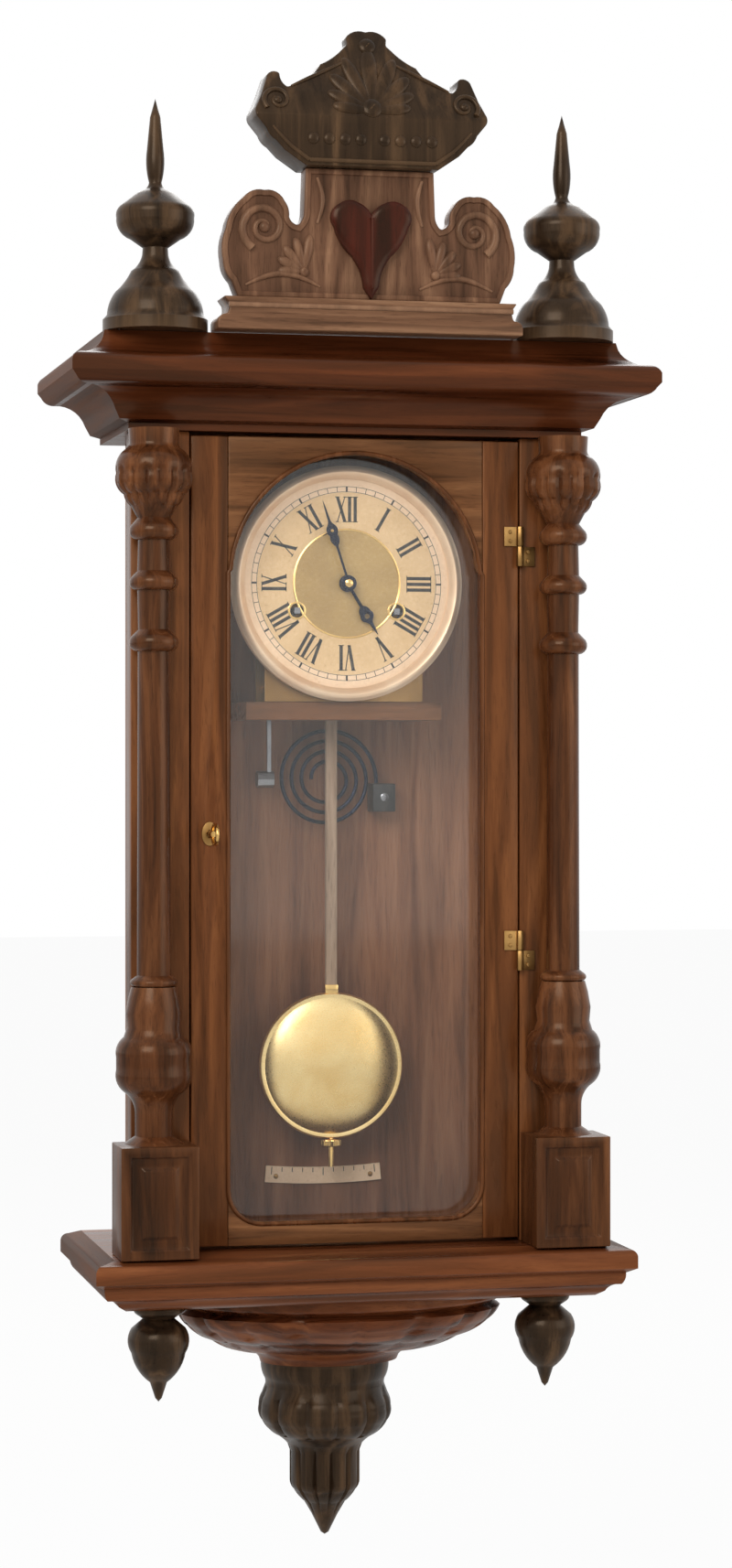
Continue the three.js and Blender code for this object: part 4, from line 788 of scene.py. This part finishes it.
def make_turnings():
    for side, sign in SIDES.items():
        obj = turned_from(DROP, sign, sides=48)
        present(obj, f"drop_turned_{side}", ebonised, "ebonised", f"drop_{side}")
        obj = turned_from(SPIRE, sign)
        present(obj, f"finial_turned_{side}", ebonised, "ebonised", f"finial_{side}")
        obj = turned_from(COLUMN, sign)
        capital = span(COLUMN, 0.86, 0.93)
        flute(obj, sign * COLUMN.x, COLUMN.depth, *capital, count=16, share=0.93, half_width=3)
        off_the_post(obj)
        present(obj, f"column_turned_{side}", walnut_turned, "walnut", f"column_{side}")
        make_pedestal(side, sign)


def make_pedestal(side, sign):
    x, depth, half = sign * COLUMN.x, COLUMN.depth, PEDESTAL.half
    deep = (-CARCASE.post_front - GAP, -depth - half)
    base = block((x - half, x + half), deep, (PEDESTAL.foot, PEDESTAL.top))
    inset_front(base, SUNK_PANEL)
    ease(base, 0.8)
    vase = turned_from(VASE, sign)
    off_the_post(vase)
    present(base, f"pedestal_block_{side}", walnut_block, "walnut", f"pedestal_{side}")
    present(vase, f"pedestal_vase_{side}", walnut_turned, "walnut")


def make_carcase():
    eased_copy("backboard", walnut_back, "walnut")
    eased_copy("seatboard", walnut_rail, "walnut")
    corner = WINDOW.corner
    far, near = WINDOW.far - corner, WINDOW.near + corner
    high, low = WINDOW.high - corner, WINDOW.low + corner
    centres = [(far, high), (near, high), (near, low), (far, low)]
    for side, sign in SIDES.items():
        eased_copy(f"side_frame_{side}", walnut_upright, "walnut")
        line = []
        for start, (y, z) in zip((0, 90, 180, 270), centres):
            for point in arc(y, z, (corner, corner), start, start + 90, 5):
                line.append((sign * WINDOW.x, *point))
        present(bead(line, 1.6, closed=True), f"side_window_bead_{side}", walnut_turned, "walnut")


# --- Crest ---

BASE.shares = [(1, 0), (1, 0.25), (0.94, 0.45, 0.4), (0.93, 0.8, -0.2), (0.96, 1)]
PANEL.shares = [
    (0.9, 0), (0.94, 0.12), (1, 0.28, 0.2), (0.98, 0.52, 0.15), (0.86, 0.76, 0.2),
    (0.72, 0.82, 0.3), (0.58, 0.74, 0.35), (0.55, 0.62, 0.2), (0.49, 0.56, -0.3),
    (0.45, 0.66, -0.2), (0.44, 1),
]
CAP.shares = [
    (0.58, 0), (0.76, 0.1), (0.84, 0.17), (0.92, 0.25, 0.2), (1, 0.33), (1, 0.41, 0.3),
    (0.95, 0.5), (0.9, 0.62), (0.78, 0.66, 0.6), (0.72, 0.56, -0.3), (0.6, 0.6),
    (0.42, 0.74, -0.15), (0.22, 0.86, -0.1), (0.17, 0.9), (0.18, 0.95), (0, 1, 0.35),
]
HEART.shares = [
    (0, 0), (0.2, 0.12), (0.5, 0.42, -0.15), (1, 0.72, 0.15), (0.86, 0.95, 0.5),
    (0.35, 0.96, 0.3), (0, 0.84, 0.2),
]
HEART_CUSHION = [(1.2, 1.0), (1.8, 0.8), (2.4, 0.5)]
CAP_EDGE = [(48, 4), (61.5, 13.4), (69, 20.8), (75.5, 28)]
# Petals of the palmette on the cap: (degrees to each side, length, width)
PALMETTE = [(0, 52, 13), (24, 48, 12), (46, 42, 12), (66, 36, 11), (84, 30, 10)]


def make_crest_base():
    obj = ease(sawn(BASE), 1.2, 3)
    present(obj, "crest_base_moulded", walnut_crest, "walnut", "crest_base")
    obj = bead([(x, -BASE.front, 200) for x in (-108, 108)], 2.0)
    present(obj, "crest_base_bead", walnut_carved, "walnut")


def volute(sign, x, z, depth, outer, turns, start, thickness, eye):
    """A carved scroll that winds inwards and thins towards the (radius, height) of its eye"""
    points, taper = [], []
    count = int(turns * 22)
    for k in range(count + 1):
        share = k / count
        turn = radians(start + 360 * turns * share)
        radius = outer * (1 - 0.86 * share)
        points.append((sign * (x + radius * cos(turn)), -depth, z + radius * sin(turn)))
        taper.append(1 - 0.45 * share)
    return [bead(points, thickness, taper=taper), dome(sign * x, z, eye[0], depth, eye[1])]


def dome(x, z, radius, depth, height):
    """A turned button on a surface that faces the viewer"""
    stations = [(radius, depth - 0.5), *arc(0, depth, (radius, height), 0, 90, 7)]
    return turned_facing(stations, x, z, sides=24)


def panel_relief(sign):
    """The carving on one side of the panel: volute, sweep, neck line and half-palmette"""

    def place(x, z):
        return (sign * x, -CREST_FIELD, PANEL.foot + z)

    parts = volute(sign, 80, PANEL.foot + 52, CREST_FIELD, 18, 1.6, -60, 3.4, eye=(4.2, 3.6))
    parts += [
        swelling_bead(lambda t: place(38 + 56 * t, 9 + 9 * sin(pi * t)), 14, 2.6, 0.35),
        swelling_bead(lambda t: place(40 - 4 * sin(pi * t), 56 + 34 * t), 10, 2.2, 0.5),
    ]
    for k in range(5):
        parts.append(petal(place(50, 20), 28 - 2 * k, 8, 6, sign * (-10 + 25 * k)))
    return parts + [dome(sign * 50, PANEL.foot + 20, 4, CREST_FIELD, 3.6)]


def make_crest_panel():
    obj = ease(sawn(PANEL), 1.6, 3)
    inset_front(obj, [(2.6, 0), (0.8, CREST_FIELD - PANEL.front)])
    present(obj, "crest_panel_carved", walnut_carved, "walnut", "crest_panel")
    relief = joined(panel_relief(-1) + panel_relief(1))
    present(relief, "crest_panel_relief", walnut_carved, "walnut")


def make_crest_ornament():
    obj = sawn(HEART)
    inset_front(obj, HEART_CUSHION)
    rib = bead([(0, -187, HEART.foot + 8), (0, -187.2, HEART.foot + 60)], 1.1, taper=[0.4, 1])
    present(joined([obj, rib]), "crest_heart_carved", redwood, "redwood", "crest_ornament")


def make_crest_cap():
    foot, face = CAP.foot, CAP.front
    obj = sawn(CAP)
    # The front leans back from the brow to the top
    brow, top = span(CAP, CAP.brow, 1)
    lean = face - CAP.top_front
    slice_off(obj, (0, -face, brow), Vector((0, brow - top, lean)).normalized())
    ease(obj, 1.4, 3)
    present(obj, "crest_cap_carved", ebonised, "ebonised", "crest_cap")
    fan = []
    for degrees, length, width in PALMETTE:
        for sign in (-1, 1) if degrees else (1,):
            fan.append(petal((0, -face, brow + 6), length, width, 5, sign * degrees))
    fan += [dome(0, brow + 8, 8, face, 2.8), dome(0, brow + 60, 6.5, face, 2.6)]
    for sign in (-1, 1):
        fan += volute(sign, 71, brow + 12, face, 11, 1.4, -40, 2.2, eye=(3.4, 2.2))
        fan.append(swelling_bead(
            lambda t: (sign * (60 - 42 * t), -face, brow + 24 + 22 * t), 8, 1.6, 0.5
        ))
    palmette = joined(fan)
    # Tipped back about the brow, onto the leaning front
    shaping(palmette)
    pick_all()
    bpy.ops.transform.rotate(
        value=atan2(lean, top - brow), orient_axis="X",
        center_override=(0, -face * MM, brow * MM),
    )
    close_mesh()
    parts = [palmette, bead([(x, -face, foot + 4) for x in (-48, 48)], 1.7)]
    for sign in (-1, 1):
        edge = [(sign * x, -face, foot + z) for x, z in CAP_EDGE]
        parts.append(bead(edge, 1.7, taper=[1, 1, 0.9, 0.5]))
        for k in range(4):
            parts.append(dome(sign * (9 + 12 * k), foot + 20, 4.4, face, 1.9))
    present(joined(parts), "crest_cap_palmette", ebonised, "ebonised")


# --- Door ---


def door_bead_line():
    """Round the opening: arch, left stile and corner, then the same in the mirror"""
    rim, corner = DOOR_BEAD.rim, DOOR_BEAD.corner
    arch = arc(0, 0, (DOOR_BEAD.arch, DOOR_BEAD.arch), 4.8, 175.2, 40)
    turn = arc(corner - rim, DOOR_BEAD.sill + corner, (corner, corner), 180, 270, 8)
    side = [(-rim, DOOR_BEAD.spring), *turn]
    mirrored = [(-x, z) for x, z in reversed(side)]
    return [(x, -CARCASE.post_front, z) for x, z in arch + side + mirrored]


def make_door():
    for node in ("door_stile_left", "door_stile_right"):
        eased_copy(node, walnut_upright, "walnut", body="door")
    for node in ("door_rail", "door_head"):
        eased_copy(node, walnut_rail, "walnut", body="door")
    edge = bead(door_bead_line(), 1.8, closed=True)
    present(edge, "door_bead", walnut_turned, "walnut", body="door")


def screw_head(x, z, depth, radius, degrees):
    """A slotted round head on a face that faces the viewer"""
    profile = [(radius, depth), (radius, depth + 0.35), (radius * 0.8, depth + 0.8), (0, depth + 1)]
    head = turned_facing(profile, x, z, sides=20)
    slot = block((-radius * 1.2, radius * 1.2), (-depth - 2, -depth - 0.5), (-0.25, 0.25))
    return hollow(head, placed(slot, (0, radians(degrees), 0), (x, 0, z)))


def make_hinges():
    # Screws of both leaves: the body, their x, which way they go from the pin, their slots
    leaves = {"fixed": ("case", 134, -1, (35, 80)), "moving": ("door", 120, 1, (10, 60))}
    for name, z in HINGES.items():
        eased_copy(f"hinge_pin_{name}", aged_brass, "brass", 0.25)
        eased_copy(f"hinge_leaf_{name}", aged_brass, "brass", 0.25, body="door")
        for leaf, (body, x, way, slots) in leaves.items():
            places = zip((z + 4 * way, z + 11 * way), slots)
            heads = [screw_head(x, height, LEAF_FRONT, 1.6, slot) for height, slot in places]
            present(joined(heads), f"hinge_screws_{leaf}_{name}", aged_brass, "brass", body=body)


def make_key():
    x, z = KEY.x, KEY.z
    obj = ease(traced(arc(x, z, (6, 9), 0, 348.75, 31), 135.2, 134.1), 0.35)
    present(obj, "keyhole_escutcheon", aged_brass, "brass", body="door")
    profile = [
        (2.2, 121), (2.2, 137), (3.4, 138), (3.4, 139.5), (2.5, 140.5), (2.5, 147), (3.2, 148),
        (3.2, 149.5), (2.2, 151),
    ]
    shank = turned_facing(profile, x, z, sides=32)
    pick_nothing()
    bpy.ops.mesh.primitive_torus_add(
        major_radius=10 * MM, minor_radius=1.5 * MM, major_segments=48, minor_segments=14
    )
    bow = placed(sized((0.75, 1, 1)), (0, pi / 2, 0), (x, -KEY.bow_depth, z))
    bit = block((x - 1, x + 1), (-125, -121), (z - 7, z))
    key = joined([shank, bow, bit])
    present(key, "door_key_turned", polished_brass, "brass", "door_key", body="key")


# --- Dial and hands ---


def stroke(low, high, width):
    """One stroke of a numeral, straight or leaning, from x low at its foot to x high at its top"""
    height = NUMERAL.height
    obj = block((low - width / 2, low + width / 2), (-0.14, 0.2), (0, height))
    if low != high:
        shaping(obj)
        choose(obj, lambda vertex: vertex.co.z > height / 2 * MM)
        bpy.ops.transform.translate(value=((high - low) * MM, 0, 0))
        close_mesh()
    return obj


def serif(x, width, at_top):
    foot = NUMERAL.height - NUMERAL.serif if at_top else 0
    return block((x - width / 2, x + width / 2), (-0.14, 0.2), (foot, foot + NUMERAL.serif))


def make_letters():
    """The three letters that hours are written with, each with the width that it takes"""
    thick, thin = NUMERAL.thick, NUMERAL.thin
    one = [stroke(0, 0, thick), serif(0, 4.2, False), serif(0, 4.2, True)]
    five = [
        stroke(0.4, -3, thick), stroke(0.4, 3.1, thin), serif(-3, 3.6, True), serif(3.1, 2.6, True),
    ]
    ten = [
        stroke(3, -3, thick), stroke(-3, 3, thin), serif(-3, 3.6, True), serif(3, 2.6, True),
        serif(3, 3.6, False), serif(-3, 2.6, False),
    ]
    return {"I": (joined(one), 4.4), "V": (joined(five), 8.8), "X": (joined(ten), 8.8)}


def hour_marks():
    letters = make_letters()
    places = {letter: [] for letter in letters}
    for hour, text in enumerate(HOURS, start=1):
        x = -sum(letters[c][1] for c in text) / 2
        for c in text:
            _, advance = letters[c]
            place = Vector((x + advance / 2, -DIAL.front, NUMERAL.foot)) * MM
            places[c].append(clockwise(30 * hour) @ Matrix.Translation(place))
            x += advance
    return [mark for c in letters for mark in repeated(letters[c][0], places[c])]


def minute_marks():
    inner, outer = MINUTE_TRACK
    deep = (-DIAL.front - 0.12, -DIAL.front + 0.2)
    fine, wide = [block((-half, half), deep, (inner + 0.2, outer)) for half in (0.22, 0.7)]
    marks = repeated(fine, [clockwise(6 * k) for k in range(60) if k % 5])
    marks += repeated(wide, [clockwise(30 * k) for k in range(12)])
    return marks + [flat_ring(radius, radius + 0.35, 100.8, 101.12, 128) for radius in MINUTE_TRACK]


def flat_ring(inner, outer, back, front, sides=96):
    """A flat ring that faces the viewer"""
    return ring_facing([(inner, back), (inner, front), (outer, front), (outer, back)], sides=sides)


def bores(radius, places=WINDING):
    """Cutters for round holes in the dial"""
    return [turned_facing([(radius, 95), (radius, 105)], x, z, sides=32) for x, z in places]


def make_dial():
    profile = [
        (DIAL.radius, DIAL.back), (DIAL.radius, 100.6), (82.5, DIAL.front), (42.5, DIAL.front),
        (41.5, DIAL.well), (0, DIAL.well),
    ]
    face = hollow(turned_facing(profile, sides=128), *bores(5.5), *bores(5, [(0, 0)]))
    present(face, "dial_enamel", ivory, "enamel", "dial_plate")
    centre = hollow(flat_ring(5.2, 40.6, 100.45, 100.75), *bores(5.7))
    present(centre, "dial_centre", ivory_centre, "enamel")
    chapter = hollow(flat_ring(42.4, 69.8, 100.6, DIAL.chapter, 128), *bores(5.5))
    present(chapter, "dial_chapter_ring", ivory_chapter, "enamel")
    section = [(40.6, 100.3), (40.6, 101.2), (41.4, 101.5), (42.2, 101.2), (42.2, 100.3)]
    trims = [ring_facing(section)]
    section = [(5.4, 100.2), (5.4, 101.3), (6.2, 101.5), (7, 101.2), (7, 100.2)]
    trims += [ring_facing(section, x, z, sides=40) for x, z in WINDING]
    present(joined(trims), "dial_brass_rings", polished_brass, "brass")
    present(joined(hour_marks() + minute_marks()), "dial_numerals", numeral_black, "enamel")
    section = [
        (80, 101.3), (80, 103), (81.2, 104.2), (83, 106.8), (85, 108), (87.2, 107.4), (88.6, 105.6),
        (90, 104.2), (90, 97.2), (84.4, 97.2), (84.4, 101.3),
    ]
    bezel = ring_facing(section, sides=128)
    present(bezel, "dial_bezel_turned", pale_gilt, "brass", "dial_bezel")


HAND_SHARES = [
    (0.25, 0), (0.28, 0.45), (1, 0.58, 0.3), (0.9, 0.7, 0.4), (0.3, 0.78, -0.2), (0.2, 0.9), (0, 1),
]


def make_hand(name, body, length, width, boss, front, degrees):
    size = Sizes(shares=HAND_SHARES, half=width / 2, foot=0, height=length)
    size.front, size.back = front, front - 1.2
    eye = [(width * 0.22, front - 4), (width * 0.22, front + 4)]
    blade = hollow(sawn(size), turned_facing(eye, 0, length * 0.635, sides=24))
    rim, crown = front - 0.2, front + 0.1
    profile = [(boss, front - 1.4), (boss, rim), (boss * 0.8, crown), (0, crown)]
    hand = joined([ease(blade, 0.3), turned_facing(profile, sides=40)])
    hand.rotation_euler = (0, radians(degrees), 0)
    present(hand, f"{name}_blued", blued_steel, "blued_steel", name, body=body)


def make_hands():
    make_hand("hour_hand", "hour_work", 46, 9, 6.5, 104.7, 148.5)
    make_hand("minute_hand", "minute_work", 66, 6, 6, 108.9, 342)
    nut = turned_facing([(3.4, 109), (3.4, 110.2), (2.2, 111), (0, 111.2)], sides=6)
    present(nut, "hand_nut", polished_brass, "brass", body="minute_work")


# --- Pendulum, gong and fittings ---

# (radius, rise before the pendulum's middle plane) from the bob's back to its front
BOB_STATIONS = [
    (0, -11), (20, -10.4), (36, -8.2), (46, -6.5), (52, -4.5), (55.6, -2.2), (57, -1.6), (57, 1.6),
    (55.8, 3.2), (54.2, 3.2), (53, 2.9), (50, 4.6), (44, 6.6), (36, 8.4), (27, 9.9), (18, 10.9),
    (9, 11.4), (0, 11.5),
]
NUT_STATIONS = [(5.5, 0), (7.6, 0.5), (8, 1.2), (8, 4.8), (7.6, 5.5), (5.5, 6)]


def make_pendulum():
    depth = PENDULUM_DEPTH
    bob = turned_facing([(radius, depth + rise) for radius, rise in BOB_STATIONS], 0, BOB_Z, 128)
    present(bob, "pendulum_bob_turned", bright_brass, "brass", "pendulum_bob", body="pendulum")
    lath = ease(block((-4.5, 4.5), (-depth - 2.5, -depth + 2.5), (-420, 50.2)), 1.0, 3)
    present(lath, "pendulum_rod_lath", pale_rod, "rod_wood", "pendulum_rod", body="pendulum")
    ferrules = []
    for span_z in ((40, 50.4), (-317, -310)):
        ferrules.append(ease(block((-5.2, 5.2), (-depth - 3.2, -depth + 3.2), span_z), 0.5))
    ferrules.append(turned([(2.2, 0), (2.2, 34), (1.6, 35)], 0, -depth, -452, sides=24))
    present(joined(ferrules), "pendulum_ferrules", polished_brass, "brass", body="pendulum")
    nut = turned(NUT_STATIONS, 0, -depth, -436.3, sides=72)
    flute(nut, 0, depth, -435.2, -431.4, count=36, share=0.95, half_width=1)
    crisp = radians(20)
    present(
        nut, "rating_nut_knurled", polished_brass, "brass", "rating_nut", body="nut", smooth=crisp
    )


def gong_line():
    """A straight end in the block, then a spiral that winds inwards"""
    points = [(GONG.radius, -GONG.depth, GONG.z - GONG.wire)]
    steps_per_turn = 48
    for k in range(int(GONG.turns * steps_per_turn) + 1):
        turn = 2 * pi * k / steps_per_turn
        reach = GONG.radius - GONG.pitch * k / steps_per_turn
        points.append((reach * cos(turn), -GONG.depth, GONG.z + reach * sin(turn)))
    return points


def beat_marks():
    """Short and long strokes on an arc round the anchor's axis"""
    axis = Matrix.Translation((0, 0, BEAT.axis * MM))
    marks = []
    for outer, steps in ((BEAT.short, (-4, -3, -2, -1, 1, 2, 3, 4)), (BEAT.long, (-5, 0, 5))):
        mark = block((-0.3, 0.3), (-16.55, -16.1), (-outer, -BEAT.inner))
        marks += repeated(mark, [axis @ clockwise(k * BEAT.degrees) for k in steps])
    return marks


def make_strike_work():
    wire = bead(gong_line(), GONG.wire / 2)
    present(wire, "gong_coil_wound", blued_steel, "blued_steel", "gong_coil")
    eased_copy("gong_block", black_iron, "cast_iron", 1.0, 3)
    present(screw_head(45, -164, 36, 3.2, 25), "gong_screw", steel, "steel")
    present(joined(beat_marks()), "beat_scale_marks", numeral_black, "enamel")
    heads = joined([screw_head(x, -462, 16.3, 2.0, 30) for x in (-38, 38)])
    present(heads, "beat_scale_screws", aged_brass, "brass")


# What keeps its frame shape and only gets its finish
FINISHED_NODES = [
    (aged_brass, ["hanger_plate", "front_plate", "back_plate", "suspension_cock"]),
    (polished_brass, [
        "centre_arbor", "intermediate_wheel", "third_wheel", "escape_wheel", "minute_wheel",
        "hour_wheel", "going_barrel", "strike_barrel",
    ]),
    (steel, [
        "going_winding_arbor", "strike_winding_arbor", "anchor", "suspension_spring", "hammer",
        "lock_bolt",
    ]),
    (glass, ["door_glass", "side_glass_left", "side_glass_right"]),
    (ivory, ["beat_scale"]),
]


def dress_frame_nodes():
    for finish, nodes in FINISHED_NODES:
        for node in nodes:
            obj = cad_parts[node]
            if not obj.data.materials:
                obj.data.materials.append(finish)
            for slot in obj.material_slots:
                slot.material = finish


# --- Room, lights and camera; lengths in metres ---

AMBIENT = 0.42
# Each lamp's place, what it points at and its power
LAMPS = {
    "key_lamp": ((-1.6, -2.6, 1.5), (0, -0.1, -0.1), 62),
    "fill_lamp": ((2.2, -1.9, 0.3), (0, -0.1, -0.1), 18),
    "back_lamp": ((0.6, 2.2, 1.6), (0, 0, -0.1), 26),
}
# The photograph's size, focal length and optical axis in its own pixels
PHOTO = Sizes(width=800, height=1714, focal=3828, axis_x=375.5, axis_y=825.3)
CAMERA = Sizes(sensor=36, degrees=12.66, distance=2.688, aim_y=-0.09, z=-0.131)


def make_floor():
    """A pale floor that shows white to the camera and still takes the object's shadow"""
    pick_nothing()
    bpy.ops.mesh.primitive_plane_add(size=24, location=(0, 0, -0.9))
    floor = bpy.context.object
    floor.name = "floor"
    material = bpy.data.materials.new("pale_floor")
    tree = open_tree(material)
    shader = tree.nodes["Principled BSDF"]
    feed(tree, shader, {"Base Color": (0.86, 0.86, 0.85, 1), "Roughness": 0.9})
    seen = grow(tree, "LightPath", "Is Camera Ray")
    share = grow(tree, "Math", 0, {0: seen, 1: 0.93}, operation="MULTIPLY")
    glow = grow(tree, "Emission", 0)
    shown = grow(tree, "MixShader", 0, {0: share, 1: shader.outputs[0], 2: glow})
    feed(tree, tree.nodes["Material Output"], {"Surface": shown})
    floor.data.materials.append(material)


def light_room():
    """A world that is white where it is seen or mirrored and gives a softer light"""
    world = bpy.data.worlds.new("studio")
    bpy.context.scene.world = world
    tree = open_tree(world)
    seen = grow(tree, "LightPath", "Is Camera Ray")
    rays = seen.node.outputs
    for kind in ("Is Glossy Ray", "Is Transmission Ray"):
        seen = grow(tree, "Math", 0, {0: seen, 1: rays[kind]}, operation="MAXIMUM")
    level = grow(tree, "MapRange", "Result", {"Value": seen, "To Min": AMBIENT, "To Max": 1.0})
    feed(tree, tree.nodes["Background"], {"Color": (1, 1, 1, 1), "Strength": level})


def hang_lamps():
    for name, (place, aim, power) in LAMPS.items():
        pick_nothing()
        bpy.ops.object.light_add(type="AREA", location=place)
        lamp = bpy.context.object
        lamp.name = name
        lamp.data.shape = "RECTANGLE"
        lamp.data.size = lamp.data.size_y = 1.8
        lamp.data.energy = power
        lamp.rotation_euler = (Vector(aim) - Vector(place)).to_track_quat("-Z", "Y").to_euler()


def place_camera():
    """At the photograph's viewing angle, seen from the left of the clock"""
    data = bpy.data.cameras.new("camera")
    camera = linked("camera", data)
    data.sensor_fit = "VERTICAL"
    data.sensor_height = CAMERA.sensor
    data.lens = CAMERA.sensor * PHOTO.focal / PHOTO.height
    data.shift_x = (PHOTO.width / 2 - PHOTO.axis_x) / PHOTO.height
    data.shift_y = (PHOTO.axis_y - PHOTO.height / 2) / PHOTO.height
    turn = radians(CAMERA.degrees)
    across, back = CAMERA.distance * sin(turn), CAMERA.distance * cos(turn)
    camera.location = (-across, CAMERA.aim_y - back, CAMERA.z)
    camera.rotation_euler = (pi / 2, 0, -turn)
    bpy.context.scene.camera = camera


make_cornice()
make_plinth()
make_bowl()
make_bottom_finial()
make_turnings()
make_carcase()
make_crest_base()
make_crest_panel()
make_crest_ornament()
make_crest_cap()
make_door()
make_hinges()
make_key()
make_dial()
make_hands()
make_pendulum()
make_strike_work()
dress_frame_nodes()
make_floor()
light_room()
hang_lamps()
place_camera()

bpy.context.scene.view_settings.view_transform = "Standard"
